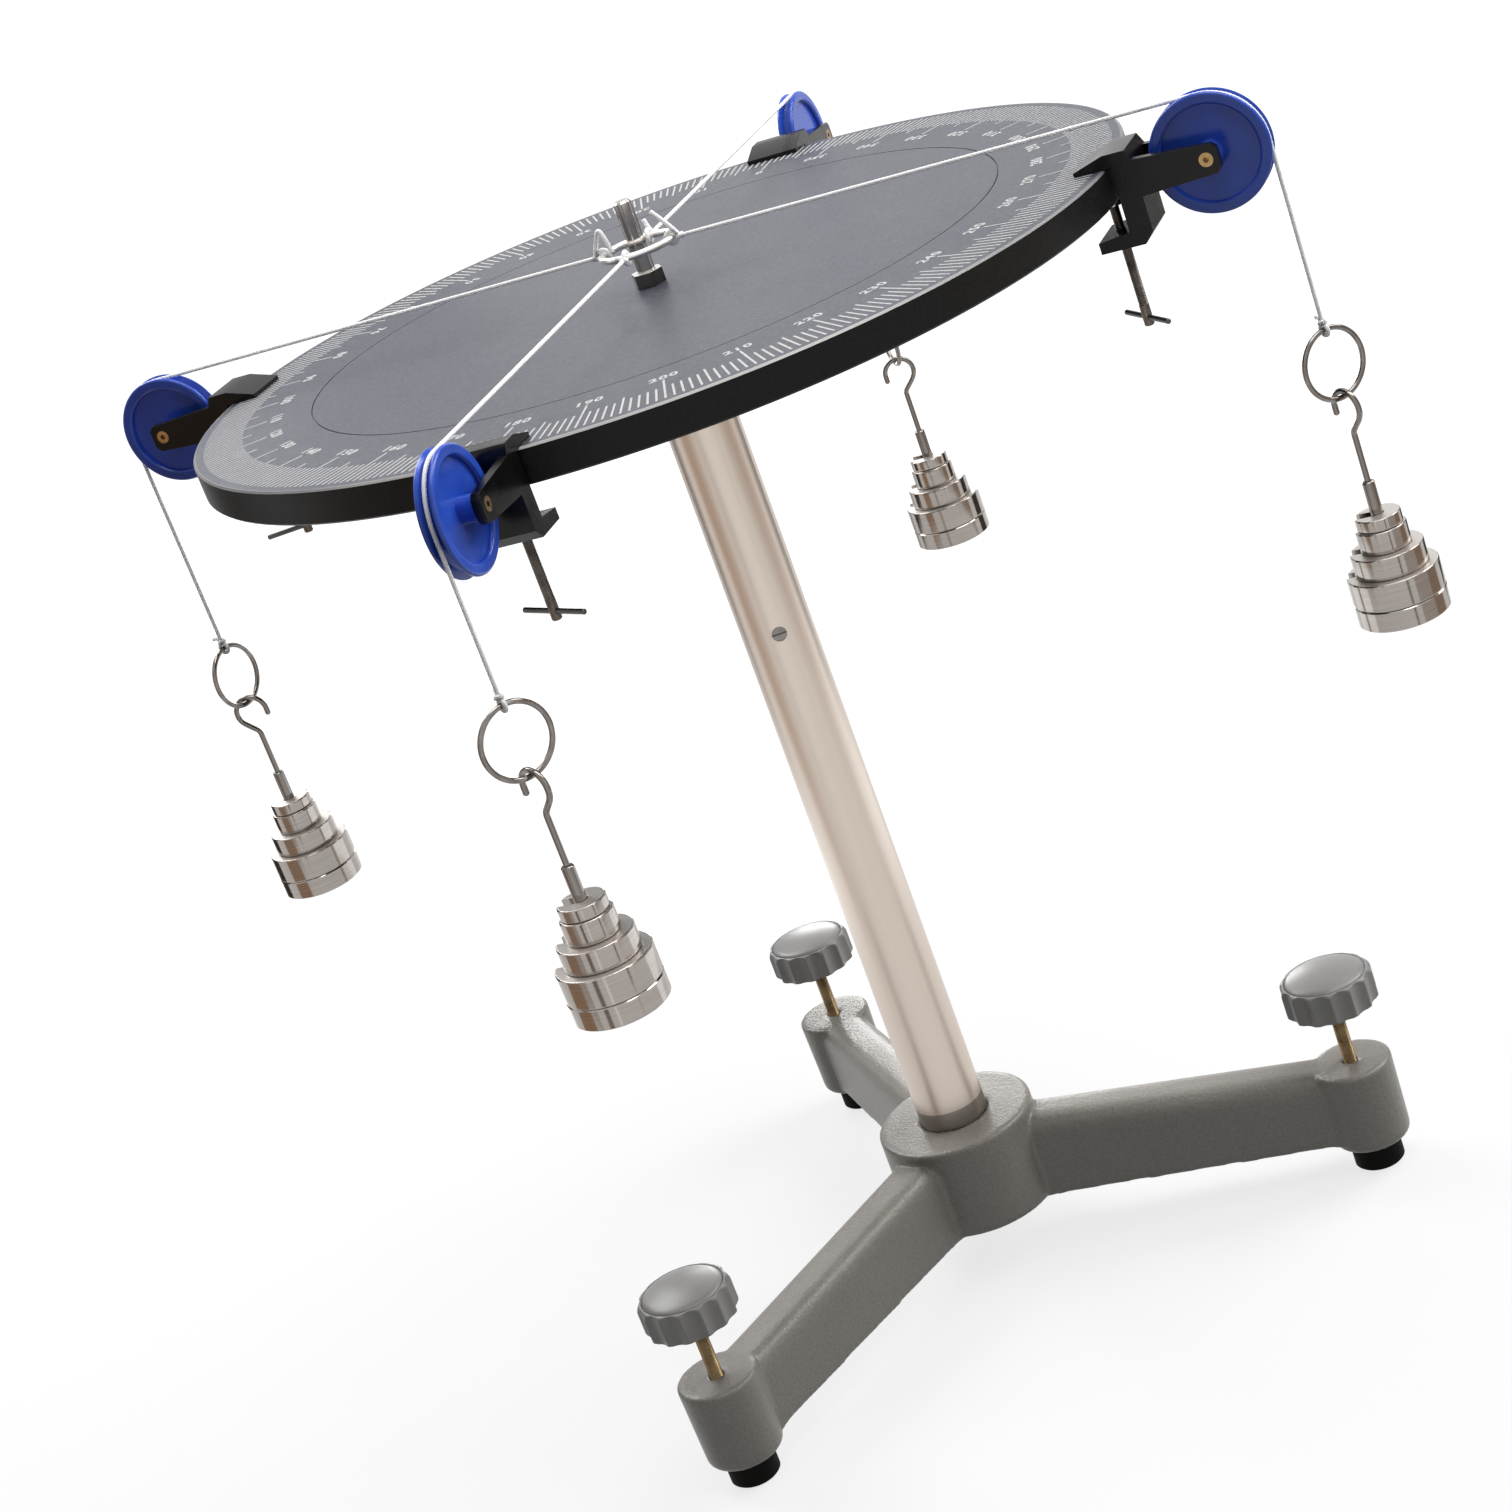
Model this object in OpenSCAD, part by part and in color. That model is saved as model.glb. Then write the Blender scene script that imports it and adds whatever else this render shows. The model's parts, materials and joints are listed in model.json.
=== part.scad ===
// Force table: a round table on a column and a levelling tripod, with four pulley clamps on its rim.
// A cord runs from a ring at the centre over each pulley to a hanger with slotted weights.
// Millimetres, +Z up, origin on the floor under the column's axis.

/* [Table] */
// Diameter of the round table
table_d = 397; // [300:1:500]
// Thickness of the table
table_t = 14; // [10:0.5:20]
// Height of the table's top face above the floor
table_h = 465; // [420:1:520]
// Bevel round the table's top and bottom edges
table_bevel = 0.8; // [0.3:0.1:1.5]
// Radius of the fine turned line inside the degree scale
line_r = 147; // [120:1:160]
// Width and depth of the turned line
line_cut = 0.6; // [0.3:0.1:1]

/* [Centre] */
// Diameter of the centre post
post_d = 7.5; // [6:0.5:10]
// Height of the post above the table
post_h = 36; // [30:1:50]
// Depth of the post's thread below the table's top face
post_root = 30; // [20:1:36]
// Width across the flats of the lock nut
nut_flats = 12; // [11.5:0.5:16]
// Height of the lock nut
nut_h = 6; // [4:0.5:8]
// Outside diameter of the string ring
ring_d = 34; // [28:1:44]
// Thickness of the string ring's wire
ring_wire = 3; // [2:0.25:4]

/* [Column] */
// Outside diameter of the column tube
column_d = 31; // [26:0.5:38]
// Wall of the column tube
column_wall = 2; // [1.5:0.25:3]
// Diameter of the flange under the table
flange_d = 70; // [64:1:90]
// Thickness of the flange
flange_t = 7; // [5:0.5:10]
// Height of the flush screw in the column
screw_h = 311; // [300:1:380]
// Direction of the flush screw, degrees from +X
screw_at = -67; // [-180:1:180]
// Diameter of the flush screw
screw_d = 6.5; // [4:0.5:8]
// Length of the spigot below the flush screw
spigot_below = 18; // [10:1:30]
// Number of flange screws
flange_screws = 4; // [3:1:6]
// Diameter of a flange screw
flange_screw_d = 5; // [3:0.5:6]
// Diameter and height of a flange screw's head
flange_head = [8.6, 3.2]; // [2:0.1:10]
// Circle of the flange screws
flange_pcd = 52; // [46:1:56]
// Grip of a flange screw in the table
flange_grip = 8; // [5:0.5:9]

/* [Base] */
// Diameter of the hub
hub_d = 71; // [56:1:90]
// Height of the hub's top face above the floor
hub_top = 65; // [58:1:75]
// Height of the hub's underside above the floor
hub_low = 21; // [18:1:24]
// Thickness of the hub's floor under the tube
hub_floor = 10; // [6:1:14]
// Distance from the column's axis to a levelling screw
leg_r = 177.5; // [140:1:220]
// Direction of the first leg, degrees from +X
leg_at = 5.5; // [-60:0.5:60]
// Width of an arm
arm_w = 25; // [20:1:30]
// Rounding of an arm's top edges
arm_round = 8; // [4:0.5:9]
// Height of an arm's crown and of its underside at the hub
arm_hub = [62, 21.5]; // [15:0.5:75]
// Height of an arm's crown and of its underside at the boss
arm_end = [50, 15.5]; // [13:0.5:60]
// Diameter of a boss at its top and at its foot
boss_d = [35.5, 34]; // [26:0.5:45]
// Height of a boss's top face above the floor
boss_top = 51; // [45:1:57]
// Rounding of a boss's lower edge
boss_round = 3.5; // [1:0.5:5]
// Bevel of the top edges of hub and bosses
cast_bevel = 1; // [0.5:0.1:2]

/* [Base bolt] */
// Diameter of the bolt under the hub
bolt_d = 10; // [8:1:12]
// Width across the flats of its head
bolt_flats = 17; // [16:1:20]
// Height of its head
bolt_head = 6.5; // [5:0.5:8]
// Length of the plug in the tube's foot
plug_h = 26; // [20:1:40]
// Grip of the bolt in the plug
bolt_grip = 18; // [10:1:19]

/* [Levelling feet] */
// Diameter of a rubber foot
foot_d = 22; // [16:1:28]
// Height of a rubber foot
foot_h = 12; // [9:0.5:14]
// Diameter of a levelling screw
level_d = 6; // [5:0.5:8]
// Depth of the screw's swivel socket in the foot
level_socket = 7; // [4:0.5:8]
// Gap between boss and knob with the foot drawn right up
knob_gap = 28.5; // [27:0.5:40]
// Diameter of a knob
knob_d = 41; // [32:1:56]
// Height of a knob's fluted side
knob_h = 13.5; // [12:0.5:20]
// Rise of a knob's domed top
knob_dome = 4; // [2:0.5:6]
// Number of flutes round a knob
knob_flutes = 14; // [8:1:20]
// Radius of a flute
flute_r = 5; // [3:0.5:7]
// Depth of a flute
flute_deep = 1.5; // [0.5:0.1:2]
// Bevel of a knob's edges
knob_bevel = 1.2; // [0.8:0.1:2]
// Grip of the screw in the knob
knob_grip = 11; // [6:0.5:11.5]

/* [Pulley clamp] */
// Places of the four clamps on the degree scale
clamp_at = [0, 89, 180.5, 268]; // [-20:0.5:290]
// Room between the table's rim and a clamp's web
rim_gap = 1.8; // [0.5:0.1:3]
// Width of a clamp
clamp_w = 24.4; // [22:0.2:30]
// Thickness of the web behind the rim
web_t = 8.9; // [6:0.1:12]
// Reach of the upper tab over the table
tab_reach = 14.5; // [12:0.5:24]
// Thickness of the tab at the web and at its tip
tab_t = [5.5, 1.8]; // [1:0.1:8]
// Room under the table inside the jaw
jaw_room = 11.5; // [9:0.5:16]
// Reach of the lower jaw under the table
jaw_reach = 13; // [11:0.5:20]
// Thickness of the lower jaw
jaw_t = 6; // [4:0.5:8]
// Bevel of the lower outer corner
jaw_bevel = 4; // [1:0.5:5]
// Thickness of a fork arm
fork_t = 3.6; // [2.5:0.1:4.5]
// Height of a fork arm at the web and at its tip
fork_h = [15, 11.5]; // [10:0.5:18]
// Rise of the fork's top above the table at the web
fork_rise = 1.5; // [0:0.1:3]
// Length of a fork arm past the axle
fork_end = 5; // [4:0.25:8]

/* [Pulley wheel] */
// Diameter of a wheel
wheel_d = 46.8; // [40:0.2:56]
// Thickness of a wheel's rim
wheel_t = 8; // [7:0.2:9]
// Gap between wheel and web
wheel_gap = 3.7; // [2:0.1:8]
// Drop of the axle below the table's top face
axle_drop = 6; // [4:0.25:8]
// Diameter of the axle
axle_d = 5.5; // [4:0.25:6]
// Diameter of the wheel's hub
wheel_hub_d = 10; // [8:0.5:14]
// Width of the rim's round lip
lip_w = 4.6; // [3.5:0.1:5]
// Thickness of the wheel's disc
wheel_disc_t = 4; // [3:0.25:5]
// Depth of the wheel's groove below its rim
groove_deep = 2.3; // [2:0.1:3]
// Half width of the groove at its floor and at the rim
groove_w = [1.3, 2.6]; // [1:0.1:3]

/* [Clamp screw] */
// Diameter of a clamp screw
clamp_screw_d = 4; // [3:0.25:6]
// Length of the screw below the jaw
clamp_screw_out = 34.5; // [30:0.5:50]
// Diameter and thickness of the swivel pad
pad = [8, 2.5]; // [2:0.1:10]
// Diameter and depth of the screw's tip in the pad
pad_tip = [2.6, 1.5]; // [1:0.1:3]
// Diameter of the tommy bar
bar_d = 2.2; // [1.5:0.1:3]
// Length of the tommy bar
bar_l = 36; // [24:1:44]
// Height of the tommy bar above the screw's lower end
bar_up = 3.4; // [2.5:0.1:6]
// Direction of each tommy bar, degrees from the clamp's own line
bar_turn = [-60, -70, -30, 40]; // [-90:5:90]

/* [Cords and weights] */
// Diameter of the cord
cord_d = 1.6; // [1:0.1:2]
// Drop of each weight ring's top below the table's top face
drop = [98.5, 108, 69, 83]; // [50:1:140]
// Outside diameter of a weight ring
weight_ring_d = 30; // [24:0.5:40]
// Thickness of a weight ring's wire
weight_ring_wire = 2.2; // [1.6:0.1:3]
// Direction that each weight ring faces, degrees from +X
ring_turn = [-150, -12, -40, -44]; // [-180:1:180]
// Direction that each hook opens, degrees from +X
hook_turn = [-162, 12, 150, 138]; // [-180:1:180]
// Radius of a hook, at the middle of its wire
hook_r = 7; // [5:0.25:10]
// Thickness of a hook's wire
hook_wire = 2.4; // [1.8:0.1:3]
// Straight end of a hook
hook_end = 3.5; // [2:0.25:6]
// Distance from a hook's top to the topmost disc
hook_to_disc = 51.5; // [44:0.5:70]
// Diameter of a hanger's stem
stem_d = 5; // [4:0.25:6]
// Length of the stem above the discs
stem_out = 13.5; // [12.5:0.5:20]
// Diameter and thickness of a hanger's base
hanger_base = [37, 8.5]; // [4:0.5:50]
// Diameters of the slotted discs from the top down
weight_d = [18.5, 20.5, 29.5, 37]; // [14:0.5:50]
// Thicknesses of the slotted discs from the top down
weight_t = [5, 9, 9, 11.5]; // [3:0.5:16]
// Direction of each set's slots, degrees from +X
slot_turn = [180, 90, 180, 180]; // [0:90:270]
// Room round the stem in a slot
slot_gap = 0.25; // [0.15:0.05:0.5]
// Bevel of the discs' edges
disc_bevel = 0.4; // [0.2:0.1:0.8]

/* [Hidden] */
$fn = 64;
// Running fit, held fit, loose gap and a cut's overshoot
run_gap = 0.05;
held_gap = 0.02;
loose_gap = 0.3;
over = 1;
// Lap of bent and straight wires, and room between stacked discs
wire_lap = 0.2;
disc_gap = 0.1;

SETS = 4;
LEGS = 3;
SET_PIECES = ["pulley_clamp", "wheel_axle", "pulley_wheel", "clamp_pad", "clamp_screw", "tommy_bar",
              "string", "weight_ring", "weight_hanger", "slotted_weights"];
LEG_PIECES = ["level_foot", "level_screw", "level_knob"];
STAND_PIECES = ["base_casting", "column_tube", "column_plug", "base_bolt", "table_socket", "column_screw",
                "socket_screws", "table_top", "centre_post", "post_nut", "string_ring"];

// The scale's zero lies on +Y
scale_zero = 90;
rim_r = table_d / 2;
table_low = table_h - table_t;
flange_low = table_low - flange_t;
column_in = column_d - 2 * column_wall;
tube_low = hub_low + hub_floor;
boss_low = foot_h;
knob_low = boss_top + knob_gap;

// Clamp places along its own radial line
web_in = rim_r + rim_gap;
web_out = web_in + web_t;
axle_r = web_out + wheel_gap + wheel_d / 2;
axle_z = table_h - axle_drop;
fork_tip = axle_r + fork_end;
jaw_top = table_low - jaw_room;
jaw_low = jaw_top - jaw_t;
screw_r = web_in - jaw_reach / 2;
screw_low = jaw_low - clamp_screw_out;
pad_low = table_low - pad[1];

// The cord lies in the groove, just clear of its floor
groove_r = wheel_d / 2 - groove_deep;
cord_r = groove_r + loose_gap + cord_d / 2;
cord_z = axle_z + cord_r;
drop_r = axle_r + cord_r;
ring_mid = (ring_d - ring_wire) / 2;
ring_loop = ring_wire / 2 + loose_gap + cord_d / 2;
weight_mid = (weight_ring_d - weight_ring_wire) / 2;
weight_loop = weight_ring_wire / 2 + loose_gap + cord_d / 2;
knot_r = cord_d;
knot_out = cord_d * 0.65;
tail_l = 9;

// Hanger heights, measured down from the middle of the wire at the hook's top
hook_seat = (weight_ring_wire + hook_wire) / 2 + run_gap * 2;
kink_r = 4;
kink_turn = 45;
kink_x = hook_r * cos(kink_turn) - kink_r * (1 - cos(kink_turn));
kink_low = hook_r * (1 + sin(kink_turn)) + kink_x * tan(90 - kink_turn) + kink_r * sin(kink_turn);
stem_top = hook_to_disc - stem_out;
discs_h = weight_t[0] + weight_t[1] + weight_t[2] + weight_t[3];
base_top = hook_to_disc + discs_h + 4 * disc_gap;

function clamp_dir(i) = scale_zero + clamp_at[i - 1];
function leg_dir(i) = leg_at + 360 / LEGS * (i - 1);
function ring_top_z(i) = table_h - drop[i - 1] - weight_ring_wire / 2;
function hook_z(i) = ring_top_z(i) - 2 * weight_mid + hook_seat;
function disc_top(k) = k == 0 ? hook_to_disc : disc_top(k - 1) + weight_t[k - 1] + disc_gap;

// Moves a clamp's own shapes to its place on the rim
module at_clamp(i) { rotate(clamp_dir(i)) children(); }
module at_leg(i) { rotate(leg_dir(i)) translate([leg_r, 0, 0]) children(); }
module at_drop(i) { at_clamp(i) translate([drop_r, 0, 0]) rotate(-clamp_dir(i)) children(); }

// A round bar from low to high, with bevelled ends
module bevelled_bar(d, low, high, bevel) {
    r = d / 2;
    rotate_extrude()
        polygon([[0, low], [r - bevel, low], [r, low + bevel], [r, high - bevel], [r - bevel, high], [0, high]]);
}

// A hexagon prism measured across its flats
module hexagon(flats, h) { cylinder(d = flats / cos(30), h = h, $fn = 6); }

// A stretch of wire bent to a circle, in the XZ plane, lapping into the straight wires at its ends
module bent_wire(r, wire, from, to) {
    lap = wire_lap / r * 180 / PI;
    rotate([90, 0, 0]) rotate(from - lap) rotate_extrude(angle = to - from + 2 * lap)
        translate([r, 0]) circle(d = wire);
}

// A straight wire along +Z, a hair thicker than the bends that end in it
module straight_wire(wire, l) { cylinder(d = wire + 2 * held_gap, h = l); }

// A straight wire along +Z with a blunt lower end
module blunt_wire(wire, l) {
    r = wire / 2 + held_gap;
    rotate_extrude() polygon([[0, 0], [r / 2, 0], [r, r / 2], [r, l], [0, l]]);
}

// A side outline given by radius and height, as thick as w about the clamp's middle plane
module side_plate(w, outline) {
    translate([0, w / 2, 0]) rotate([90, 0, 0]) linear_extrude(w) polygon(outline);
}

// Stand

module arm_section() {
    square_w = arm_w - 2 * arm_round;
    translate([-arm_w / 2, -table_h]) square([arm_w, table_h - arm_round]);
    translate([-square_w / 2, -table_h]) square([square_w, table_h]);
    for (side = [-1, 1]) translate([side * square_w / 2, -arm_round]) circle(r = arm_round);
}

// An arm: a round-topped bar that slopes down to the boss, trimmed to its side outline
module arm() {
    slope = atan2(arm_hub[0] - arm_end[0], leg_r);
    intersection() {
        translate([0, 0, arm_hub[0]]) rotate([0, slope, 0]) translate([-leg_r / 2, 0, 0])
            rotate([90, 0, 90]) linear_extrude(2 * leg_r) arm_section();
        side_plate(arm_w + over, [[0, arm_hub[1]], [leg_r, arm_end[1]], [leg_r, table_h], [0, table_h]]);
    }
}

module boss() {
    top_r = boss_d[0] / 2;
    low_r = boss_d[1] / 2;
    arc = [for (a = [-90:15:0]) [low_r - boss_round + boss_round * cos(a), boss_low + boss_round * (1 + sin(a))]];
    rotate_extrude()
        polygon(concat([[0, boss_low]], arc,
                       [[top_r, boss_top - cast_bevel], [top_r - cast_bevel, boss_top], [0, boss_top]]));
}

module base_casting() {
    color("darkgray") difference() {
        union() {
            bevelled_bar(hub_d, hub_low, hub_top, cast_bevel);
            for (i = [1:LEGS]) {
                rotate(leg_dir(i)) arm();
                at_leg(i) boss();
            }
        }
        translate([0, 0, tube_low]) cylinder(d = column_d + 2 * held_gap, h = table_h);
        cylinder(d = bolt_d + 2 * loose_gap, h = table_h);
        for (i = [1:LEGS]) at_leg(i) cylinder(d = level_d + 2 * run_gap, h = table_h);
    }
}

module column_tube() {
    color("silver") difference() {
        translate([0, 0, tube_low]) cylinder(d = column_d, h = flange_low - tube_low);
        cylinder(d = column_in, h = table_h);
        translate([0, 0, screw_h]) rotate([0, 90, screw_at]) cylinder(d = screw_d + 2 * held_gap, h = column_d);
    }
}

module column_plug() {
    color("gray") difference() {
        translate([0, 0, tube_low]) cylinder(d = column_in - 2 * held_gap, h = plug_h);
        cylinder(d = bolt_d + 2 * held_gap, h = tube_low + bolt_grip + over);
    }
}

module base_bolt() {
    color("gray") union() {
        translate([0, 0, hub_low - bolt_head]) hexagon(bolt_flats, bolt_head);
        translate([0, 0, hub_low - over]) cylinder(d = bolt_d, h = tube_low + bolt_grip - hub_low + over);
    }
}

module flange_holes(d) {
    for (k = [1:flange_screws])
        rotate(360 / flange_screws * (k - 0.5)) translate([flange_pcd / 2, 0, 0]) cylinder(d = d, h = table_h);
}

module table_socket() {
    spigot_low = screw_h - spigot_below;
    color("gray") difference() {
        union() {
            translate([0, 0, flange_low]) cylinder(d = flange_d, h = flange_t);
            translate([0, 0, spigot_low]) cylinder(d = column_in - 2 * held_gap, h = table_low - spigot_low);
        }
        flange_holes(flange_screw_d + 2 * held_gap);
        translate([0, 0, table_h - post_root - over]) cylinder(d = post_d + 2 * held_gap, h = table_h);
        translate([0, 0, screw_h]) rotate([0, 90, screw_at]) cylinder(d = screw_d + 2 * held_gap, h = column_d);
    }
}

module column_screw() {
    slot_w = 1;
    end = column_d / 2 - 2 * loose_gap;
    color("dimgray") translate([0, 0, screw_h]) rotate([0, 90, screw_at]) difference() {
        translate([0, 0, column_in / 4]) cylinder(d = screw_d, h = end - column_in / 4);
        translate([-slot_w / 2, -screw_d, end - slot_w]) cube([slot_w, 2 * screw_d, 2 * slot_w]);
    }
}

module socket_screws() {
    color("gray") for (k = [1:flange_screws])
        rotate(360 / flange_screws * (k - 0.5)) translate([flange_pcd / 2, 0, 0]) union() {
            translate([0, 0, flange_low - flange_head[1]]) cylinder(d = flange_head[0], h = flange_head[1]);
            translate([0, 0, flange_low - over]) cylinder(d = flange_screw_d, h = flange_t + flange_grip + over);
        }
}

module table_top() {
    color([0.12, 0.12, 0.13]) difference() {
        bevelled_bar(table_d, table_low, table_h, table_bevel);
        cylinder(d = post_d + 2 * held_gap, h = 2 * table_h);
        intersection() {
            flange_holes(flange_screw_d + 2 * held_gap);
            cylinder(d = flange_d, h = table_low + flange_grip);
        }
        translate([0, 0, table_h - line_cut]) difference() {
            cylinder(r = line_r + line_cut / 2, h = over + line_cut, $fn = 128);
            translate([0, 0, -over]) cylinder(r = line_r - line_cut / 2, h = 3 * over + line_cut, $fn = 128);
        }
    }
}

module centre_post() {
    color("silver") bevelled_bar(post_d, table_h - post_root, table_h + post_h, table_bevel);
}

module post_nut() {
    color("dimgray") translate([0, 0, table_h]) difference() {
        hexagon(nut_flats, nut_h);
        translate([0, 0, -over]) cylinder(d = post_d + 2 * held_gap, h = nut_h + 2 * over);
    }
}

module string_ring() {
    color("silver") translate([0, 0, cord_z]) rotate_extrude() translate([ring_mid, 0]) circle(d = ring_wire);
}

// Levelling feet

module level_foot(i) {
    color([0.05, 0.05, 0.05]) at_leg(i) difference() {
        bevelled_bar(foot_d, 0, foot_h, table_bevel);
        translate([0, 0, foot_h - level_socket]) cylinder(d = level_d + 2 * run_gap, h = foot_h);
    }
}

module level_screw(i) {
    low = foot_h - level_socket + loose_gap;
    color("darkgoldenrod") at_leg(i) translate([0, 0, low]) cylinder(d = level_d, h = knob_low + knob_grip - low);
}

module level_knob(i) {
    r = knob_d / 2;
    crown = r - 2 * flute_deep;
    side_top = knob_low + knob_h;
    dome_r = (crown * crown + knob_dome * knob_dome) / (2 * knob_dome);
    dome = [for (k = [0:6]) let (x = crown * (1 - k / 6))
        [x, side_top + sqrt(dome_r * dome_r - x * x) - dome_r + knob_dome]];
    color("gray") at_leg(i) difference() {
        rotate_extrude() polygon(concat(
            [[0, knob_low], [r - knob_bevel, knob_low], [r, knob_low + knob_bevel], [r, side_top - knob_bevel],
             [r - knob_bevel, side_top]], dome));
        for (k = [1:knob_flutes])
            rotate(360 / knob_flutes * k) translate([r + flute_r - flute_deep, 0, knob_low - over])
                cylinder(r = flute_r, h = knob_h + knob_dome + 2 * over);
        cylinder(d = level_d + 2 * held_gap, h = knob_low + knob_grip + held_gap);
    }
}

// Pulley clamps

module pulley_clamp(i) {
    tip = web_in - tab_reach;
    jaw_tip = web_in - jaw_reach;
    jaw_slope = 1.5;
    root_top = table_h + fork_rise;
    tip_top = root_top - fork_rise * 4 / 3;
    corner = 2;
    body = [[tip, table_h], [tip, table_h + tab_t[1]], [web_in - 2, table_h + tab_t[0]],
            [web_out - 2, table_h + tab_t[0]], [web_out, root_top], [web_out, jaw_low + jaw_bevel],
            [web_out - jaw_bevel, jaw_low], [jaw_tip, jaw_low], [jaw_tip, jaw_top - jaw_slope],
            [web_in, jaw_top], [web_in, table_h]];
    fork = [[web_out - 2, root_top], [fork_tip - corner, tip_top], [fork_tip, tip_top - corner],
            [fork_tip, tip_top - fork_h[1] + corner], [fork_tip - corner, tip_top - fork_h[1]],
            [web_out - 2, root_top - fork_h[0]]];
    color([0.08, 0.08, 0.09]) at_clamp(i) difference() {
        union() {
            side_plate(clamp_w, body);
            for (side = [-1, 1]) translate([0, side * (clamp_w - fork_t) / 2, 0]) side_plate(fork_t, fork);
        }
        translate([axle_r, 0, axle_z]) rotate([90, 0, 0])
            cylinder(d = axle_d + 2 * held_gap, h = 2 * clamp_w, center = true);
        translate([screw_r, 0, jaw_low - over])
            cylinder(d = clamp_screw_d + 2 * run_gap, h = jaw_t + jaw_room + 2 * over);
    }
}

module wheel_axle(i) {
    socket = 2.4;
    socket_deep = 2.5;
    color("goldenrod") at_clamp(i) translate([axle_r, 0, axle_z]) rotate([90, 0, 0]) difference() {
        cylinder(d = axle_d, h = clamp_w, center = true);
        for (side = [-1, 1]) translate([0, 0, side * clamp_w / 2])
            cylinder(d = socket, h = 2 * socket_deep, center = true, $fn = 6);
    }
}

module wheel_section() {
    r = wheel_d / 2;
    hub_half = clamp_w / 2 - fork_t - loose_gap;
    lip = wheel_t / 2;
    difference() {
        union() {
            translate([0, -hub_half]) square([wheel_hub_d / 2, 2 * hub_half]);
            translate([0, -wheel_disc_t / 2]) square([r - lip_w / 2, wheel_disc_t]);
            translate([r - lip_w, -lip + lip_w / 4]) square([lip_w, 2 * lip - lip_w / 2]);
            for (side = [-1, 1]) {
                translate([r - lip_w * 3 / 4, side * (lip - lip_w / 4)]) circle(d = lip_w / 2);
                translate([r - lip_w / 4, side * (lip - lip_w / 4)]) circle(d = lip_w / 2);
                translate([r - lip_w * 3 / 4, side * (lip - lip_w / 4) - lip_w / 4]) square(lip_w / 2);
            }
        }
        polygon([[groove_r, -groove_w[0]], [r + over, -groove_w[1] - over * (groove_w[1] - groove_w[0]) / groove_deep],
                 [r + over, groove_w[1] + over * (groove_w[1] - groove_w[0]) / groove_deep], [groove_r, groove_w[0]]]);
        translate([-over, -clamp_w]) square([axle_d / 2 + run_gap + over, 2 * clamp_w]);
    }
}

module pulley_wheel(i) {
    color("mediumblue") at_clamp(i) translate([axle_r, 0, axle_z]) rotate([90, 0, 0])
        rotate_extrude() wheel_section();
}

module clamp_pad(i) {
    color("gray") at_clamp(i) translate([screw_r, 0, 0]) difference() {
        translate([0, 0, pad_low]) cylinder(d = pad[0], h = pad[1]);
        translate([0, 0, pad_low - over]) cylinder(d = pad_tip[0] + 2 * run_gap, h = pad_tip[1] + run_gap + over);
    }
}

module clamp_screw(i) {
    color("silver") at_clamp(i) translate([screw_r, 0, 0]) difference() {
        union() {
            translate([0, 0, screw_low]) cylinder(d = clamp_screw_d, h = pad_low - loose_gap - screw_low);
            translate([0, 0, pad_low - over]) cylinder(d = pad_tip[0], h = pad_tip[1] + over);
        }
        translate([0, 0, screw_low + bar_up]) rotate([90, 0, bar_turn[i - 1]])
            cylinder(d = bar_d + 2 * held_gap, h = 2 * clamp_screw_d, center = true);
    }
}

module tommy_bar(i) {
    color("dimgray") at_clamp(i) translate([screw_r, 0, screw_low + bar_up]) rotate([90, 0, bar_turn[i - 1]])
        translate([0, 0, -bar_l / 2]) bevelled_bar(bar_d, 0, bar_l, bar_d / 5);
}

// Cords and weights

module string(i) {
    start = ring_mid + ring_loop;
    loop_z = ring_top_z(i) + weight_loop;
    color("white") union() {
        at_clamp(i) {
            translate([ring_mid, 0, cord_z]) rotate([90, 0, 0]) rotate_extrude()
                translate([ring_loop, 0]) circle(d = cord_d);
            translate([start + knot_out, 0, cord_z]) {
                sphere(r = knot_r);
                rotate([0, 90, 0]) straight_wire(cord_d, axle_r - start - knot_out);
                rotate([0, -30, 25]) cylinder(d = cord_d, h = tail_l);
            }
            translate([axle_r, 0, axle_z]) bent_wire(cord_r, cord_d, 0, 90);
            translate([drop_r, 0, loop_z + knot_out]) straight_wire(cord_d, axle_z - loop_z - knot_out);
        }
        at_drop(i) rotate(ring_turn[i - 1]) {
            translate([0, 0, ring_top_z(i)]) rotate([90, 0, 0]) rotate_extrude()
                translate([weight_loop, 0]) circle(d = cord_d);
            translate([0, 0, loop_z + knot_out]) sphere(r = knot_r);
        }
    }
}

module weight_ring(i) {
    color("silver") at_drop(i) rotate(ring_turn[i - 1]) translate([0, 0, ring_top_z(i) - weight_mid])
        rotate([0, 90, 0]) rotate_extrude() translate([weight_mid, 0]) circle(d = weight_ring_wire);
}

module weight_hanger(i) {
    kink_z = hook_r * (1 + sin(kink_turn));
    kink_run = kink_x / sin(kink_turn);
    color("silver") at_drop(i) translate([0, 0, hook_z(i)]) rotate(hook_turn[i - 1]) union() {
        translate([hook_r, 0, -hook_r - hook_end]) blunt_wire(hook_wire, hook_end);
        translate([0, 0, -hook_r]) bent_wire(hook_r, hook_wire, 0, 180 + kink_turn);
        translate([-hook_r * cos(kink_turn), 0, -kink_z]) rotate([0, 180 - kink_turn, 0])
            straight_wire(hook_wire, kink_run);
        translate([-kink_r, 0, -kink_low]) bent_wire(kink_r, hook_wire, 0, kink_turn);
        translate([0, 0, -stem_top - over]) straight_wire(hook_wire, stem_top + over - kink_low);
        translate([0, 0, -base_top - over]) bevelled_bar(stem_d, 0, base_top + over - stem_top, disc_bevel);
        translate([0, 0, -base_top - hanger_base[1]]) bevelled_bar(hanger_base[0], 0, hanger_base[1], disc_bevel);
    }
}

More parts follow.
